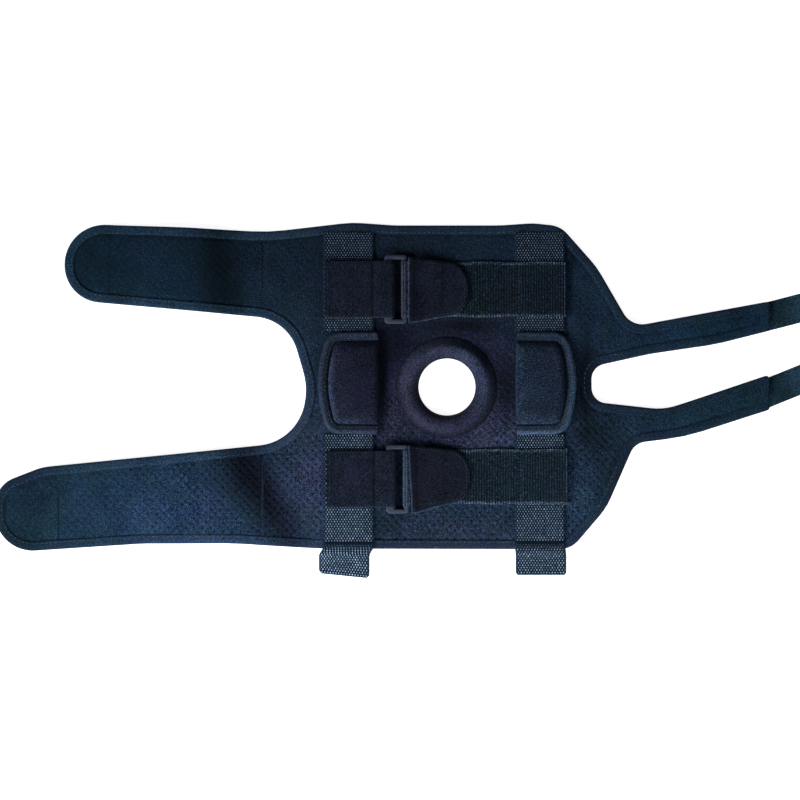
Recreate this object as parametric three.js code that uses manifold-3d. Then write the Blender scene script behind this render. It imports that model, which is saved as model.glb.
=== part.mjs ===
// A wraparound knee brace lying opened out with its outer face up.
// Lengths are millimetres and +Z is up. Until the finished group is set down on its own
// bottom centre, X and Y are measured from the middle of the kneecap hole.

import * as THREE from "three";
import { mergeVertices } from "three/addons/utils/BufferGeometryUtils.js";
import ManifoldModule from "manifold-3d";

const wasm = await ManifoldModule();
wasm.setup();

// Driving dimensions shared by several pieces.
const GAP = 0.3;
const WELD = 1e-4;
const TIGHTEST = 0.4;
const ARC_STEP = THREE.MathUtils.degToRad(15);
const PANEL_THICK = 4;
const SEAM_X = -162.8;
const FAR_X = 450;

// Outline of the whole sheet, clockwise from the upper wing: each corner and its rounding.
const OUTLINE = [
  { at: "upper wing tip, top", x: -336.6, y: 144.1, round: 35.2 },
  { at: "upper wing, top edge", x: -226, y: 140, round: 260 },
  { at: "dip at the seam", x: -157.5, y: 136.4, round: 175 },
  { at: "over the left webbing", x: -83.6, y: 145, round: 97 },
  { at: "top edge, left", x: -46, y: 142.3, round: 105 },
  { at: "top edge, right", x: 46.5, y: 142.3, round: 105 },
  { at: "over the right webbing", x: 75.7, y: 144.3, round: 53 },
  { at: "right shoulder", x: 100, y: 141.7, round: 23 },
  { at: "right slope", x: 132, y: 105.6, round: 79 },
  { at: "upper arm root", x: 162.4, y: 53.2, round: 19 },
  { at: "upper arm end, top", x: 284.2, y: 75.5, round: 3.5 },
  { at: "upper arm end, low", x: 284.2, y: 49.5, round: 3.5 },
  { at: "upper arm, middle", x: 236, y: 37.4, round: 132 },
  { at: "upper arm, low edge", x: 178.6, y: 29, round: 88 },
  { at: "arm notch, top", x: 127.2, y: 17.6, round: 13.5 },
  { at: "arm notch, low", x: 127.6, y: -12.8, round: 13.5 },
  { at: "lower arm, high edge", x: 191, y: -19.8, round: 53 },
  { at: "lower arm end, top", x: 284.2, y: 11.2, round: 3.5 },
  { at: "lower arm end, low", x: 284.2, y: -20, round: 3.5 },
  { at: "lower arm, belly", x: 208.6, y: -44, round: 176 },
  { at: "lower arm root", x: 165.4, y: -49.5, round: 15.5 },
  { at: "right flank", x: 140.6, y: -106.2, round: 61 },
  { at: "right hem", x: 109.3, y: -143, round: 23 },
  { at: "left hem", x: -113.5, y: -142.4, round: 264 },
  { at: "hem at the seam", x: -186, y: -137.4, round: 240 },
  { at: "lower wing, low edge", x: -268, y: -137.8, round: 140 },
  { at: "lower wing tip, low", x: -397.8, y: -146.5, round: 33.4 },
  { at: "lower wing tip, top", x: -397.8, y: -86.5, round: 26 },
  { at: "lower wing, slope", x: -356.4, y: -70.5, round: 44 },
  { at: "leg gap, low", x: -133.1, y: -48.2, round: 45 },
  { at: "leg gap, middle", x: -122.4, y: -1.1, round: 58 },
  { at: "leg gap, top", x: -139.9, y: 59.2, round: 41 },
  { at: "upper wing tip, low", x: -336.6, y: 77, round: 33 },
];

// How high the sheet's underside stands over the table. Each row is a straight line across one
// half of the sheet, from x on its upper side to x on its lower side, and rows ease into the next.
const HALF_HEIGHT = 160;
const ARM_ARCH = [
  { upper: 160, lower: 160, lift: 0 },
  { upper: 222, lower: 222, lift: 5.5 },
  { upper: 270, lower: 270, lift: 2 },
];
const UPPER_LIE = [
  { upper: -296, lower: -296, lift: 2 },
  { upper: -238, lower: -226, lift: 7.5 },
  { upper: -176, lower: -168, lift: 0 },
  ...ARM_ARCH,
];
const LOWER_LIE = [
  { upper: -343, lower: -343, lift: 2 },
  { upper: -236, lower: -158, lift: 7.5 },
  { upper: -184, lower: -107, lift: 0 },
  ...ARM_ARCH,
];
const LIE_STEP = 12;

const BINDING = { lip: 8, wall: 1, low: 0.2, height: 4.6, round: 1.2, step: 13 };
const FLANGE = {
  inset: BINDING.wall + GAP,
  low: BINDING.low + BINDING.wall + GAP,
  high: BINDING.height - BINDING.wall - GAP,
};
const CORE_INSET = BINDING.lip + GAP;

const RING = { hole: 25, sleeve: 27.2, outer: 44, sides: 36 };
// Top of the padded ring, from its sewn rim to the edge of the hole.
const RING_CROWN = [
  { radius: 44, z: 5 },
  { radius: 41.2, z: 7.4 },
  { radius: 37.5, z: 9.3 },
  { radius: 33.5, z: 9.9 },
  { radius: 29.5, z: 9 },
  { radius: 26.4, z: 6.8 },
  { radius: 25, z: 4 },
];

const WEBBING = { width: 44.5, thick: 1.8, leftX: -86.5, rightX: 81.8, topY: 150 };
const LOOP = { hemY: -143, fallY: -146.5, reach: 18, turns: 4 };
// Each loop's low end, how far it leans aside below the hem and how its fold slopes.
const LOOP_ENDS = {
  left: { y: -166.4, lean: -4, slope: 0.1 },
  right: { y: -165.8, lean: 1, slope: 0 },
};

const PAD = { innerX: 61, outerX: 115, lowY: -42, topY: 49.2, corner: 3, base: PANEL_THICK + GAP };
// Rings of the padded mound: how far in from the bound sides, from the free side, and height.
const PAD_RINGS = [
  { bound: 1.3, free: 0, z: 4.3 },
  { bound: 1.3, free: 0, z: 6.5 },
  { bound: 8.4, free: 0.4, z: 6.55 },
  { bound: 9.4, free: 1.2, z: 8.8 },
  { bound: 13, free: 3.6, z: 10.4 },
  { bound: 19, free: 9, z: 11 },
];
const PAD_BINDING = { lip: 8, wall: 1, top: 7.9, round: 1 };

const STRAP = { upperY: 85.8, lowerY: -78.8, lowerShift: 1.5, width: 50, elastic: 49 };
const BUCKLE = { leftX: -55, rightX: -35, width: 60.5, thick: 3, midZ: 7.7, corner: 3 };
const BUCKLE_BARS = { left: 7.2, right: 4, sides: 4 };
const ANCHOR = { leftX: -107, thick: 3, ply: 1.5 };
const ELASTIC = { thick: 1.6, rightX: 104.2, foldEndX: -9 };
const TAB = { leftX: -34, rightX: 18.6, leftHalf: 28.4, rightHalf: 24, round: 19, thick: 2 };

const ARM_TAB = { width: 25, thick: 1.6, under: 11, free: 53, corner: 5 };
// Where each arm tab leaves the arm end, and how far it turns upward.
const ARM_TABS = [
  { name: "upper_arm_tab", x: 284.2, y: 62.5, turn: 14.5 },
  { name: "lower_arm_tab", x: 284.2, y: -4.6, turn: 22 },
];
const WING_HOOK = { thick: 1.7, inset: 9.5, upperEndX: -298, lowerEndX: -343 };

const COLOURS = {
  panel: 0x1f3145,
  binding: 0x1a2a3a,
  ring: 0x2d3342,
  webbing: 0x35465a,
  pad: 0x1d2535,
  anchor: 0x1a2130,
  elastic: 0x18202d,
  tab: 0x171a25,
  hook: 0x16202c,
  buckle: 0x292d38,
};

function mesh(name, shape, colour, roughness = 0.9) {
  const geometry = shape.isBufferGeometry ? shape : geometryOf(shape);
  geometry.computeVertexNormals();
  const material = new THREE.MeshStandardMaterial({ color: colour, roughness, metalness: 0 });
  const node = new THREE.Mesh(geometry, material);
  node.name = name;
  return node;
}

function bare(geometry) {
  geometry.deleteAttribute("normal");
  geometry.deleteAttribute("uv");
  return geometry;
}

function solidOf(geometry) {
  const welded = mergeVertices(bare(geometry), WELD);
  return new wasm.Manifold(
    new wasm.Mesh({
      numProp: 3,
      vertProperties: new Float32Array(welded.attributes.position.array),
      triVerts: new Uint32Array(welded.index.array),
    }),
  );
}

function geometryOf(solid) {
  const faces = solid.getMesh();
  const geometry = new THREE.BufferGeometry();
  geometry.setAttribute("position", new THREE.BufferAttribute(faces.vertProperties, 3));
  geometry.setIndex(new THREE.BufferAttribute(faces.triVerts, 1));
  return geometry;
}

// Corner points with their roundings become one closed run of points.
function rounded(corners) {
  return corners.flatMap((corner, i) => {
    const here = new THREE.Vector2(corner.x, corner.y);
    if (!corner.round) return [here];
    const before = corners.at(i - 1);
    const after = corners[(i + 1) % corners.length];
    const back = new THREE.Vector2(before.x, before.y).sub(here).normalize();
    const ahead = new THREE.Vector2(after.x, after.y).sub(here).normalize();
    const half = Math.acos(THREE.MathUtils.clamp(back.dot(ahead), -1, 1)) / 2;
    const toMiddle = back.clone().add(ahead).normalize();
    const middle = here.clone().addScaledVector(toMiddle, corner.round / Math.sin(half));
    const spoke = here.clone().addScaledVector(back, corner.round / Math.tan(half)).sub(middle);
    const turn = (Math.PI - 2 * half) * Math.sign(ahead.cross(back));
    const steps = Math.max(1, Math.round(Math.abs(turn) / ARC_STEP));
    return Array.from({ length: steps + 1 }, (_, k) =>
      spoke.clone().rotateAround(new THREE.Vector2(), (turn * k) / steps).add(middle),
    );
  });
}

// The corners of a clockwise outline moved inward, each edge by its own depth.
function insetCorners(corners, depth) {
  const edges = corners.map((corner, i) => {
    const start = new THREE.Vector2(corner.x, corner.y);
    const after = corners[(i + 1) % corners.length];
    const along = new THREE.Vector2(after.x, after.y).sub(start).normalize();
    const distance = typeof depth === "function" ? depth(corner) : depth;
    start.addScaledVector(new THREE.Vector2(along.y, -along.x), distance);
    return { start, along, distance };
  });
  return corners.map((corner, i) => {
    const into = edges.at(i - 1);
    const out = edges[i];
    const bend = into.along.cross(out.along);
    const reach = out.start.clone().sub(into.start).cross(out.along) / bend;
    const at = into.start.clone().addScaledVector(into.along, reach);
    const closer = (Math.sign(bend) * (into.distance + out.distance)) / 2;
    return { ...corner, x: at.x, y: at.y, round: Math.max(TIGHTEST, corner.round + closer) };
  });
}

// Long straight stretches get extra points, so that a band on them can follow the lie.
function subdivided(points, pieces) {
  return points.flatMap((point, i) => {
    const next = points[(i + 1) % points.length];
    return Array.from({ length: pieces[i] }, (_, k) => point.clone().lerp(next, k / pieces[i]));
  });
}

function prism(points, low, high) {
  const depth = high - low;
  const shape = new THREE.Shape(points);
  const geometry = new THREE.ExtrudeGeometry(shape, { depth, bevelEnabled: false, steps: 1 });
  return solidOf(geometry.translate(0, 0, low));
}

function box(x0, x1, y0, y1, z0, z1) {
  const geometry = new THREE.BoxGeometry(x1 - x0, y1 - y0, z1 - z0);
  return solidOf(geometry.translate((x0 + x1) / 2, (y0 + y1) / 2, (z0 + z1) / 2));
}

// A side view in X and Z, drawn out evenly to both sides of Y = 0.
function drawnOut(outer, width, holes = []) {
  const shape = new THREE.Shape(outer.map(({ x, z }) => new THREE.Vector2(x, z)));
  shape.holes = holes.map((hole) => new THREE.Path(hole.map(({ x, z }) => new THREE.Vector2(x, z))));
  const geometry = new THREE.ExtrudeGeometry(shape, { depth: width, bevelEnabled: false, steps: 1 });
  return geometry.rotateX(Math.PI / 2).translate(0, width / 2, 0);
}

// Both faces of a strip of even thickness that follows a middle line in X and Z.
function stripSide(line, thick) {
  const headings = line.slice(1).map((point, i) =>
    new THREE.Vector2(point.x - line[i].x, point.z - line[i].z).normalize(),
  );
  const face = (reach) =>
    line.map((point, i) => {
      const first = headings[Math.max(0, i - 1)];
      const second = headings[Math.min(headings.length - 1, i)];
      const mitre = first.clone().add(second).divideScalar(1 + first.dot(second));
      return { x: point.x - mitre.y * reach, z: point.z + mitre.x * reach };
    });
  return [...face(thick / 2), ...face(-thick / 2).reverse()];
}

const ease = (share) => (1 - Math.cos(Math.PI * share)) / 2;

function lieAt(x, y) {
  const rows = y > 0 ? UPPER_LIE : LOWER_LIE;
  const down = (y > 0 ? HALF_HEIGHT - y : -y) / HALF_HEIGHT;
  const places = rows.map(({ upper, lower }) => THREE.MathUtils.lerp(upper, lower, down));
  const next = places.findIndex((place) => x < place);
  if (next === 0) return rows[0].lift;
  if (next < 0) return rows.at(-1).lift;
  const share = (x - places[next - 1]) / (places[next] - places[next - 1]);
  return THREE.MathUtils.lerp(rows[next - 1].lift, rows[next].lift, ease(share));
}

// A slab of one half of the sheet, with a cross-section at every row and between rows that differ.
function slab(rows, highY, low, high) {
  const lines = rows.flatMap((row, i) => {
    const next = rows[i + 1];
    if (!next || next.lift === row.lift) return [row];
    const steps = Math.ceil((next.upper - row.upper) / LIE_STEP);
    return Array.from({ length: steps }, (_, k) => ({
      upper: THREE.MathUtils.lerp(row.upper, next.upper, k / steps),
      lower: THREE.MathUtils.lerp(row.lower, next.lower, k / steps),
      lift: THREE.MathUtils.lerp(row.lift, next.lift, ease(k / steps)),
    }));
  });
  const first = { ...lines[0], upper: -FAR_X, lower: -FAR_X };
  const last = { ...lines.at(-1), upper: FAR_X, lower: FAR_X };
  const lowY = highY - HALF_HEIGHT;
  const sections = [first, ...lines, last].map(({ upper, lower, lift }) => [
    [upper, highY, low + lift],
    [upper, highY, high + lift],
    [lower, lowY, high + lift],
    [lower, lowY, low + lift],
  ]);
  const squareCap = (start) => [
    [start, start + 1, start + 2],
    [start, start + 2, start + 3],
  ];
  return solidOf(skin(sections, squareCap));
}

// A closed band: a cross-section of inset and height carried round an outline.
function band(corners, section, step, lie = () => 0) {
  const edge = rounded(corners);
  const pieces = edge.map((point, i) => {
    const next = edge[(i + 1) % edge.length];
    return lie(point.x, point.y) || lie(next.x, next.y) ? Math.ceil(point.distanceTo(next) / step) : 1;
  });
  const rings = section.map(({ inset, z }) =>
    subdivided(rounded(insetCorners(corners, inset)), pieces).map(({ x, y }) => [x, y, z + lie(x, y)]),
  );
  return skin([...rings, rings[0]]);
}

// Level rings are capped by filling their plan.
function levelCap(start, ring) {
  const plan = ring.map(([x, y]) => new THREE.Vector2(x, y)).reverse();
  const faces = THREE.ShapeUtils.triangulateShape(plan, []);
  return faces.map((face) => face.map((k) => start + ring.length - 1 - k).reverse());
}

// Rings with the same number of points, skinned into one body and capped where its ends are open.
function skin(rings, cap = levelCap) {
  const count = rings[0].length;
  const index = [];
  for (let i = 0; i + 1 < rings.length; i += 1) {
    for (let k = 0; k < count; k += 1) {
      const n = (k + 1) % count;
      const [a, b] = [i * count, (i + 1) * count];
      index.push(a + k, b + k, b + n, a + k, b + n, a + n);
    }
  }
  if (rings[0] !== rings.at(-1)) {
    cap(0, rings[0]).forEach((face) => index.push(...face));
    const last = (rings.length - 1) * count;
    cap(last, rings.at(-1)).forEach((face) => index.push(...face.reverse()));
  }
  const geometry = new THREE.BufferGeometry();
  geometry.setAttribute("position", new THREE.Float32BufferAttribute(rings.flat(2), 3));
  geometry.setIndex(index);
  return facingOut(geometry);
}

// Welds a geometry and turns it so that its faces point outward.
function facingOut(geometry) {
  const welded = mergeVertices(bare(geometry), WELD);
  const corner = welded.attributes.position;
  const index = Array.from(welded.index.array);
  let volume = 0;
  for (let i = 0; i < index.length; i += 3) {
    const at = index.slice(i, i + 3).map((k) => new THREE.Vector3().fromBufferAttribute(corner, k));
    volume += at[0].dot(at[1].cross(at[2]));
  }
  if (volume < 0) welded.setIndex(index.reverse());
  return welded;
}

const planInset = (depth) => rounded(insetCorners(OUTLINE, depth));
const wholeCore = prism(planInset(CORE_INSET), -20, 40);
const wholeFlange = prism(planInset(FLANGE.inset), -20, 40);

// Padded sheet of one half: a full-thickness core and a thin flange for the binding.
function halfSheet(rows, highY) {
  const core = slab(rows, highY, 0, PANEL_THICK).intersect(wholeCore);
  const flange = slab(rows, highY, FLANGE.low, FLANGE.high).intersect(wholeFlange);
  return core.add(flange);
}

const upperSheet = halfSheet(UPPER_LIE, HALF_HEIGHT);
const lowerSheet = halfSheet(LOWER_LIE, 0);

function bodyPanel() {
  const reach = RING.sleeve + GAP;
  const hole = new THREE.CylinderGeometry(reach, reach, 60, RING.sides).rotateX(Math.PI / 2);
  const right = box(SEAM_X + GAP / 2, FAR_X, -HALF_HEIGHT, HALF_HEIGHT, -20, 40);
  const sheet = upperSheet.add(lowerSheet).intersect(right).subtract(solidOf(hole));
  return mesh("body_panel", sheet, COLOURS.panel);
}

function wing(name, sheet) {
  const left = box(-FAR_X, SEAM_X - GAP / 2, -HALF_HEIGHT, HALF_HEIGHT, -20, 40);
  return mesh(name, sheet.intersect(left), COLOURS.panel);
}

function edgeBinding() {
  const { lip, wall, low, height, round, step } = BINDING;
  const section = [
    { inset: lip, z: height },
    { inset: round, z: height },
    { inset: 0, z: height - round },
    { inset: 0, z: low + round },
    { inset: round, z: low },
    { inset: lip, z: low },
    { inset: lip, z: low + wall },
    { inset: wall, z: low + wall },
    { inset: wall, z: height - wall },
    { inset: lip, z: height - wall },
  ];
  return mesh("edge_binding", band(OUTLINE, section, step, lieAt), COLOURS.binding);
}

function patellaRing() {
  const profile = [
    { radius: RING.hole, z: GAP },
    { radius: RING.sleeve, z: GAP },
    { radius: RING.sleeve, z: PANEL_THICK + GAP },
    { radius: RING.outer, z: PANEL_THICK + GAP },
    ...RING_CROWN,
    { radius: RING.hole, z: GAP },
  ];
  const half = profile.map(({ radius, z }) => new THREE.Vector2(radius, z));
  const geometry = new THREE.LatheGeometry(half, RING.sides).rotateX(Math.PI / 2);
  return mesh("patella_ring", facingOut(geometry), COLOURS.ring);
}

function upperWebbing(name, middleX) {
  const half = WEBBING.width / 2;
  const low = PANEL_THICK + GAP;
  const high = low + WEBBING.thick;
  const strip = box(middleX - half, middleX + half, PAD.topY + 1, WEBBING.topY, low, high);
  return mesh(name, strip.intersect(wholeCore), COLOURS.webbing);
}

// The lower band crosses the hem, drops to the table and folds back under itself.
function lowerWebbing(name, middleX, end) {
  const half = WEBBING.thick / 2;
  const onPanel = PANEL_THICK + GAP + half;
  const onHem = BINDING.height + GAP + half;
  const onTable = half;
  const onFold = 3 * half + GAP;
  const bend = (onFold - onTable) / 2;
  const lipY = LOOP.hemY + BINDING.lip;
  const line = [
    { x: PAD.lowY - 2 * GAP, z: onPanel },
    { x: lipY + 8, z: onPanel },
    { x: lipY + 3, z: onHem },
    { x: LOOP.hemY - 2 * GAP, z: onHem },
    { x: LOOP.fallY - 1.2, z: onFold + 0.5 },
    { x: LOOP.fallY - 3.6, z: onFold },
  ];
  for (let k = 0; k <= LOOP.turns; k += 1) {
    const turn = (Math.PI * k) / LOOP.turns;
    line.push({
      x: end.y + half + bend * (1 - Math.sin(turn)),
      z: onTable + bend * (1 + Math.cos(turn)),
    });
  }
  line.push({ x: LOOP.fallY + 0.6, z: onTable });
  const strip = drawnOut(stripSide(line, WEBBING.thick), WEBBING.width).rotateZ(Math.PI / 2);
  const position = strip.attributes.position;
  for (let i = 0; i < position.count; i += 1) {
    const share = THREE.MathUtils.clamp((LOOP.fallY + 2 - position.getY(i)) / LOOP.reach, 0, 1);
    const across = position.getX(i);
    position.setX(i, across + end.lean * Math.min(1, 2.5 * share));
    position.setY(i, position.getY(i) - share * end.slope * across);
  }
  return mesh(name, facingOut(strip.translate(middleX, 0, 0)), COLOURS.webbing);
}

// D-shaped plan of a side pad, clockwise, for the right side or mirrored for the left.
function padPlan(side) {
  const middleY = (PAD.lowY + PAD.topY) / 2;
  const corners = [
    { x: PAD.innerX, y: PAD.topY, round: PAD.corner },
    { x: PAD.outerX - 9, y: PAD.topY - 0.5, round: 16 },
    { x: PAD.outerX + 0.6, y: middleY, round: 60 },
    { x: PAD.outerX - 9, y: PAD.lowY + 0.5, round: 16 },
    { x: PAD.innerX, y: PAD.lowY, round: PAD.corner },
    { x: PAD.innerX - 1.2, y: middleY, round: 200 },
  ];
  const placed = corners.map((corner) => ({ ...corner, x: corner.x * side }));
  return side > 0 ? placed : placed.reverse();
}

function sidePad(name, side) {
  const plan = padPlan(side);
  const isFree = (corner) => Math.abs(corner.x) <= PAD.innerX;
  const rings = PAD_RINGS.map(({ bound, free, z }) => {
    const depth = (corner) => {
      const after = plan[(plan.indexOf(corner) + 1) % plan.length];
      return isFree(corner) && isFree(after) ? free : bound;
    };
    return rounded(insetCorners(plan, depth)).map(({ x, y }) => [x, y, z]);
  });
  return mesh(name, skin(rings), COLOURS.pad);
}

// Tape over the top, outer and low sides of a pad, open along the free side.
function padBinding(name, side) {
  const { lip, wall, top, round } = PAD_BINDING;
  const section = [
    { inset: lip, z: top },
    { inset: round, z: top },
    { inset: 0, z: top - round },
    { inset: 0, z: PAD.base },
    { inset: wall, z: PAD.base },
    { inset: wall, z: top - wall },
    { inset: lip, z: top - wall },
  ];
  const ring = solidOf(band(padPlan(side), section, 1));
  const onSide = (x0, x1, y0, y1) => {
    const [left, right] = [x0 * side, x1 * side].sort((a, b) => a - b);
    return box(left, right, y0, y1, 0, 30);
  };
  const free = onSide(0, PAD.innerX + lip + 1, PAD.lowY + lip - 1, PAD.topY - lip + 1);
  const ends = onSide(0, PAD.innerX + PAD.corner, PAD.lowY - 5, PAD.topY + 5);
  return mesh(name, ring.subtract(free).subtract(ends), COLOURS.binding);
}

function anchorStrap(name) {
  const low = PANEL_THICK + WEBBING.thick + 2 * GAP;
  const high = low + ANCHOR.thick;
  const barX = BUCKLE.leftX + BUCKLE_BARS.left / 2;
  const clear = { x: BUCKLE_BARS.left / 2 + GAP, z: BUCKLE.thick / 2 + GAP };
  const eye = { x: clear.x + ANCHOR.ply, z: clear.z + ANCHOR.ply };
  const webEnd = WEBBING.leftX + WEBBING.width / 2;
  const outer = [
    { x: ANCHOR.leftX, z: low },
    { x: webEnd + GAP, z: low },
    { x: barX - eye.x - 1, z: BUCKLE.midZ - eye.z + 0.5 },
  ];
  for (let k = 0; k <= 8; k += 1) {
    const turn = -Math.PI / 2 + (Math.PI * k) / 8;
    outer.push({
      x: barX + eye.x - 2.6 + 2.6 * Math.cos(turn),
      z: BUCKLE.midZ + eye.z * Math.sin(turn),
    });
  }
  outer.push({ x: barX - eye.x + 1, z: BUCKLE.midZ + eye.z - 0.3 });
  outer.push({ x: webEnd - 4, z: high });
  outer.push({ x: ANCHOR.leftX, z: high });
  const hole = [
    { x: barX - clear.x, z: BUCKLE.midZ - clear.z },
    { x: barX - clear.x, z: BUCKLE.midZ + clear.z },
    { x: barX + clear.x, z: BUCKLE.midZ + clear.z },
    { x: barX + clear.x, z: BUCKLE.midZ - clear.z },
  ];
  return mesh(name, drawnOut(outer, STRAP.width, [hole]), COLOURS.anchor);
}

function buckle(name) {
  const half = BUCKLE.width / 2;
  const frame = (bars, round) =>
    rounded([
      { x: BUCKLE.leftX + bars.left, y: half - bars.sides, round },
      { x: BUCKLE.rightX - bars.right, y: half - bars.sides, round },
      { x: BUCKLE.rightX - bars.right, y: bars.sides - half, round },
      { x: BUCKLE.leftX + bars.left, y: bars.sides - half, round },
    ]);
  const low = BUCKLE.midZ - BUCKLE.thick / 2;
  const high = BUCKLE.midZ + BUCKLE.thick / 2;
  const outer = prism(frame({ left: 0, right: 0, sides: 0 }, BUCKLE.corner), low, high);
  const inner = prism(frame(BUCKLE_BARS, 0.8), low - 1, high + 1);
  return mesh(name, outer.subtract(inner), COLOURS.buckle, 0.45);
}

function elasticStrap(name) {
  const half = ELASTIC.thick / 2;
  const onPanel = PANEL_THICK + GAP + half;
  const onWebbing = PANEL_THICK + WEBBING.thick + 2 * GAP + half;
  const webStart = WEBBING.rightX - WEBBING.width / 2;
  const barX = BUCKLE.rightX - BUCKLE_BARS.right / 2;
  const around = { x: BUCKLE_BARS.right / 2 + GAP + half, z: BUCKLE.thick / 2 + GAP + half };
  const line = [
    { x: ELASTIC.rightX, z: onWebbing },
    { x: webStart - 1.2, z: onWebbing },
    { x: webStart - 9, z: onPanel },
    { x: barX + 1, z: onPanel },
  ];
  for (let k = 0; k <= 8; k += 1) {
    const turn = -Math.PI / 2 - (Math.PI * k) / 8;
    const corner = Math.abs(Math.cos(turn)) ** 0.6;
    line.push({
      x: barX - 0.6 - (around.x - 0.6) * corner,
      z: BUCKLE.midZ + around.z * Math.sign(Math.sin(turn)) * Math.abs(Math.sin(turn)) ** 0.6,
    });
  }
  const onFold = onPanel + ELASTIC.thick + GAP;
  line.push({ x: barX + 2.2, z: BUCKLE.midZ + around.z });
  line.push({ x: barX + 14, z: onFold });
  line.push({ x: ELASTIC.foldEndX, z: onFold });
  return mesh(name, drawnOut(stripSide(line, ELASTIC.thick), STRAP.elastic), COLOURS.elastic);
}

function fasteningTab(name) {
  const elasticTop = PANEL_THICK + GAP + ELASTIC.thick;
  const half = TAB.thick / 2;
  const barX = BUCKLE.rightX - BUCKLE_BARS.right / 2;
  const overBar = BUCKLE.midZ + BUCKLE.thick / 2 + 2 * GAP + ELASTIC.thick + half;
  const onFold = elasticTop + ELASTIC.thick + 2 * GAP + half;
  const line = [
    { x: TAB.leftX, z: overBar + 0.1 },
    { x: barX + 4.2, z: overBar },
    { x: barX + 15, z: onFold },
    { x: ELASTIC.foldEndX + 1, z: onFold },
    { x: ELASTIC.foldEndX + 8, z: elasticTop + GAP + half },
    { x: TAB.rightX + 5, z: elasticTop + GAP + half },
  ];
  const side = solidOf(drawnOut(stripSide(line, TAB.thick), 80));
  const plan = rounded([
    { x: TAB.leftX, y: TAB.leftHalf, round: 1.5 },
    { x: 0, y: TAB.rightHalf, round: 60 },
    { x: TAB.rightX, y: TAB.rightHalf - 0.6, round: TAB.round },
    { x: TAB.rightX, y: 0.6 - TAB.rightHalf, round: TAB.round },
    { x: 0, y: -TAB.rightHalf, round: 60 },
    { x: TAB.leftX, y: -TAB.leftHalf, round: 1.5 },
  ]);
  return mesh(name, side.intersect(prism(plan, 0, 30)), COLOURS.tab);
}

function strapSet(prefix, y, shift) {
  const set = new THREE.Group();
  set.add(anchorStrap(`${prefix}_anchor_strap`));
  set.add(buckle(`${prefix}_buckle`));
  set.add(elasticStrap(`${prefix}_elastic_strap`));
  set.add(fasteningTab(`${prefix}_fastening_tab`));
  set.position.set(shift, y, 0);
  return set;
}

function armTab({ name, x, y, turn }) {
  const half = ARM_TAB.width / 2;
  const plan = rounded([
    { x: -ARM_TAB.under, y: half },
    { x: ARM_TAB.free, y: half, round: ARM_TAB.corner },
    { x: ARM_TAB.free, y: -half, round: ARM_TAB.corner },
    { x: -ARM_TAB.under, y: -half },
  ]);
  const tab = mesh(name, prism(plan, 0, ARM_TAB.thick), COLOURS.hook);
  tab.position.set(x, y, 0);
  tab.rotation.z = THREE.MathUtils.degToRad(turn);
  return tab;
}

function wingHook(name, y0, y1, endX) {
  const plan = prism(planInset(WING_HOOK.inset), 0, WING_HOOK.thick);
  return mesh(name, plan.intersect(box(-FAR_X, endX, y0, y1, -1, 10)), COLOURS.hook);
}

const brace = new THREE.Group();
brace.name = "knee_brace";
brace.add(
  bodyPanel(),
  wing("upper_wing", upperSheet),
  wing("lower_wing", lowerSheet),
  edgeBinding(),
  patellaRing(),
  upperWebbing("left_upper_webbing", WEBBING.leftX),
  upperWebbing("right_upper_webbing", WEBBING.rightX),
  lowerWebbing("left_lower_webbing", WEBBING.leftX, LOOP_ENDS.left),
  lowerWebbing("right_lower_webbing", WEBBING.rightX, LOOP_ENDS.right),
  sidePad("left_side_pad", -1),
  sidePad("right_side_pad", 1),
  padBinding("left_pad_binding", -1),
  padBinding("right_pad_binding", 1),
  strapSet("upper", STRAP.upperY, 0),
  strapSet("lower", STRAP.lowerY, STRAP.lowerShift),
  ...ARM_TABS.map(armTab),
  wingHook("upper_wing_hook", 0, HALF_HEIGHT, WING_HOOK.upperEndX),
  wingHook("lower_wing_hook", -HALF_HEIGHT, 0, WING_HOOK.lowerEndX),
);

// Set down: the middle of the bounding box's underside becomes the origin.
const bounds = new THREE.Box3().setFromObject(brace, true);
const middle = bounds.getCenter(new THREE.Vector3());
brace.position.set(-middle.x, -middle.y, -bounds.min.z);

export default brace;
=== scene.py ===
"""Dresses a wraparound knee brace that lies opened out, face up, on a pale floor.

Sizes are millimetres from the middle of the kneecap hole until a mesh is made, and metres in
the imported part's frame from then on.
"""

import math

import bmesh
import bpy
import numpy as np
from bpy.props import FloatProperty, FloatVectorProperty, IntProperty, PointerProperty
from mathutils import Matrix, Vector
from mathutils.geometry import delaunay_2d_cdt


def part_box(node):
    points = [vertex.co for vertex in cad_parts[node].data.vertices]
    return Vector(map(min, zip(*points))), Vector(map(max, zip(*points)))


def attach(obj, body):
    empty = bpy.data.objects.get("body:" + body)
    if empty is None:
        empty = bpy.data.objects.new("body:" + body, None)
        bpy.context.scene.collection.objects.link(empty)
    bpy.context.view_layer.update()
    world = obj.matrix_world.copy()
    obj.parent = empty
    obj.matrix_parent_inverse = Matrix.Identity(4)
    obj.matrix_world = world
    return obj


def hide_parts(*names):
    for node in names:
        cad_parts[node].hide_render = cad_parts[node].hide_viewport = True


bl_info = {
    "name": "Knee Brace",
    "version": (1, 0, 0),
    "blender": (4, 5, 0),
    "location": "3D View > Sidebar > Knee Brace",
    "description": "Cloth, webbing, padding, straps and stitches of a laid-out knee brace",
    "category": "Object",
}

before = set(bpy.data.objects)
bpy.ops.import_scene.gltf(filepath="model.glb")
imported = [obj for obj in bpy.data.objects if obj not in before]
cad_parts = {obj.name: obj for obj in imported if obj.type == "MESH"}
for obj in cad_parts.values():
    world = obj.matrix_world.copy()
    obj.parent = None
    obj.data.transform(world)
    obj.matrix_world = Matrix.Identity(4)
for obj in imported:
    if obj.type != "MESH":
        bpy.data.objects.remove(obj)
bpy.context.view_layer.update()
MM = 0.001


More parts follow.
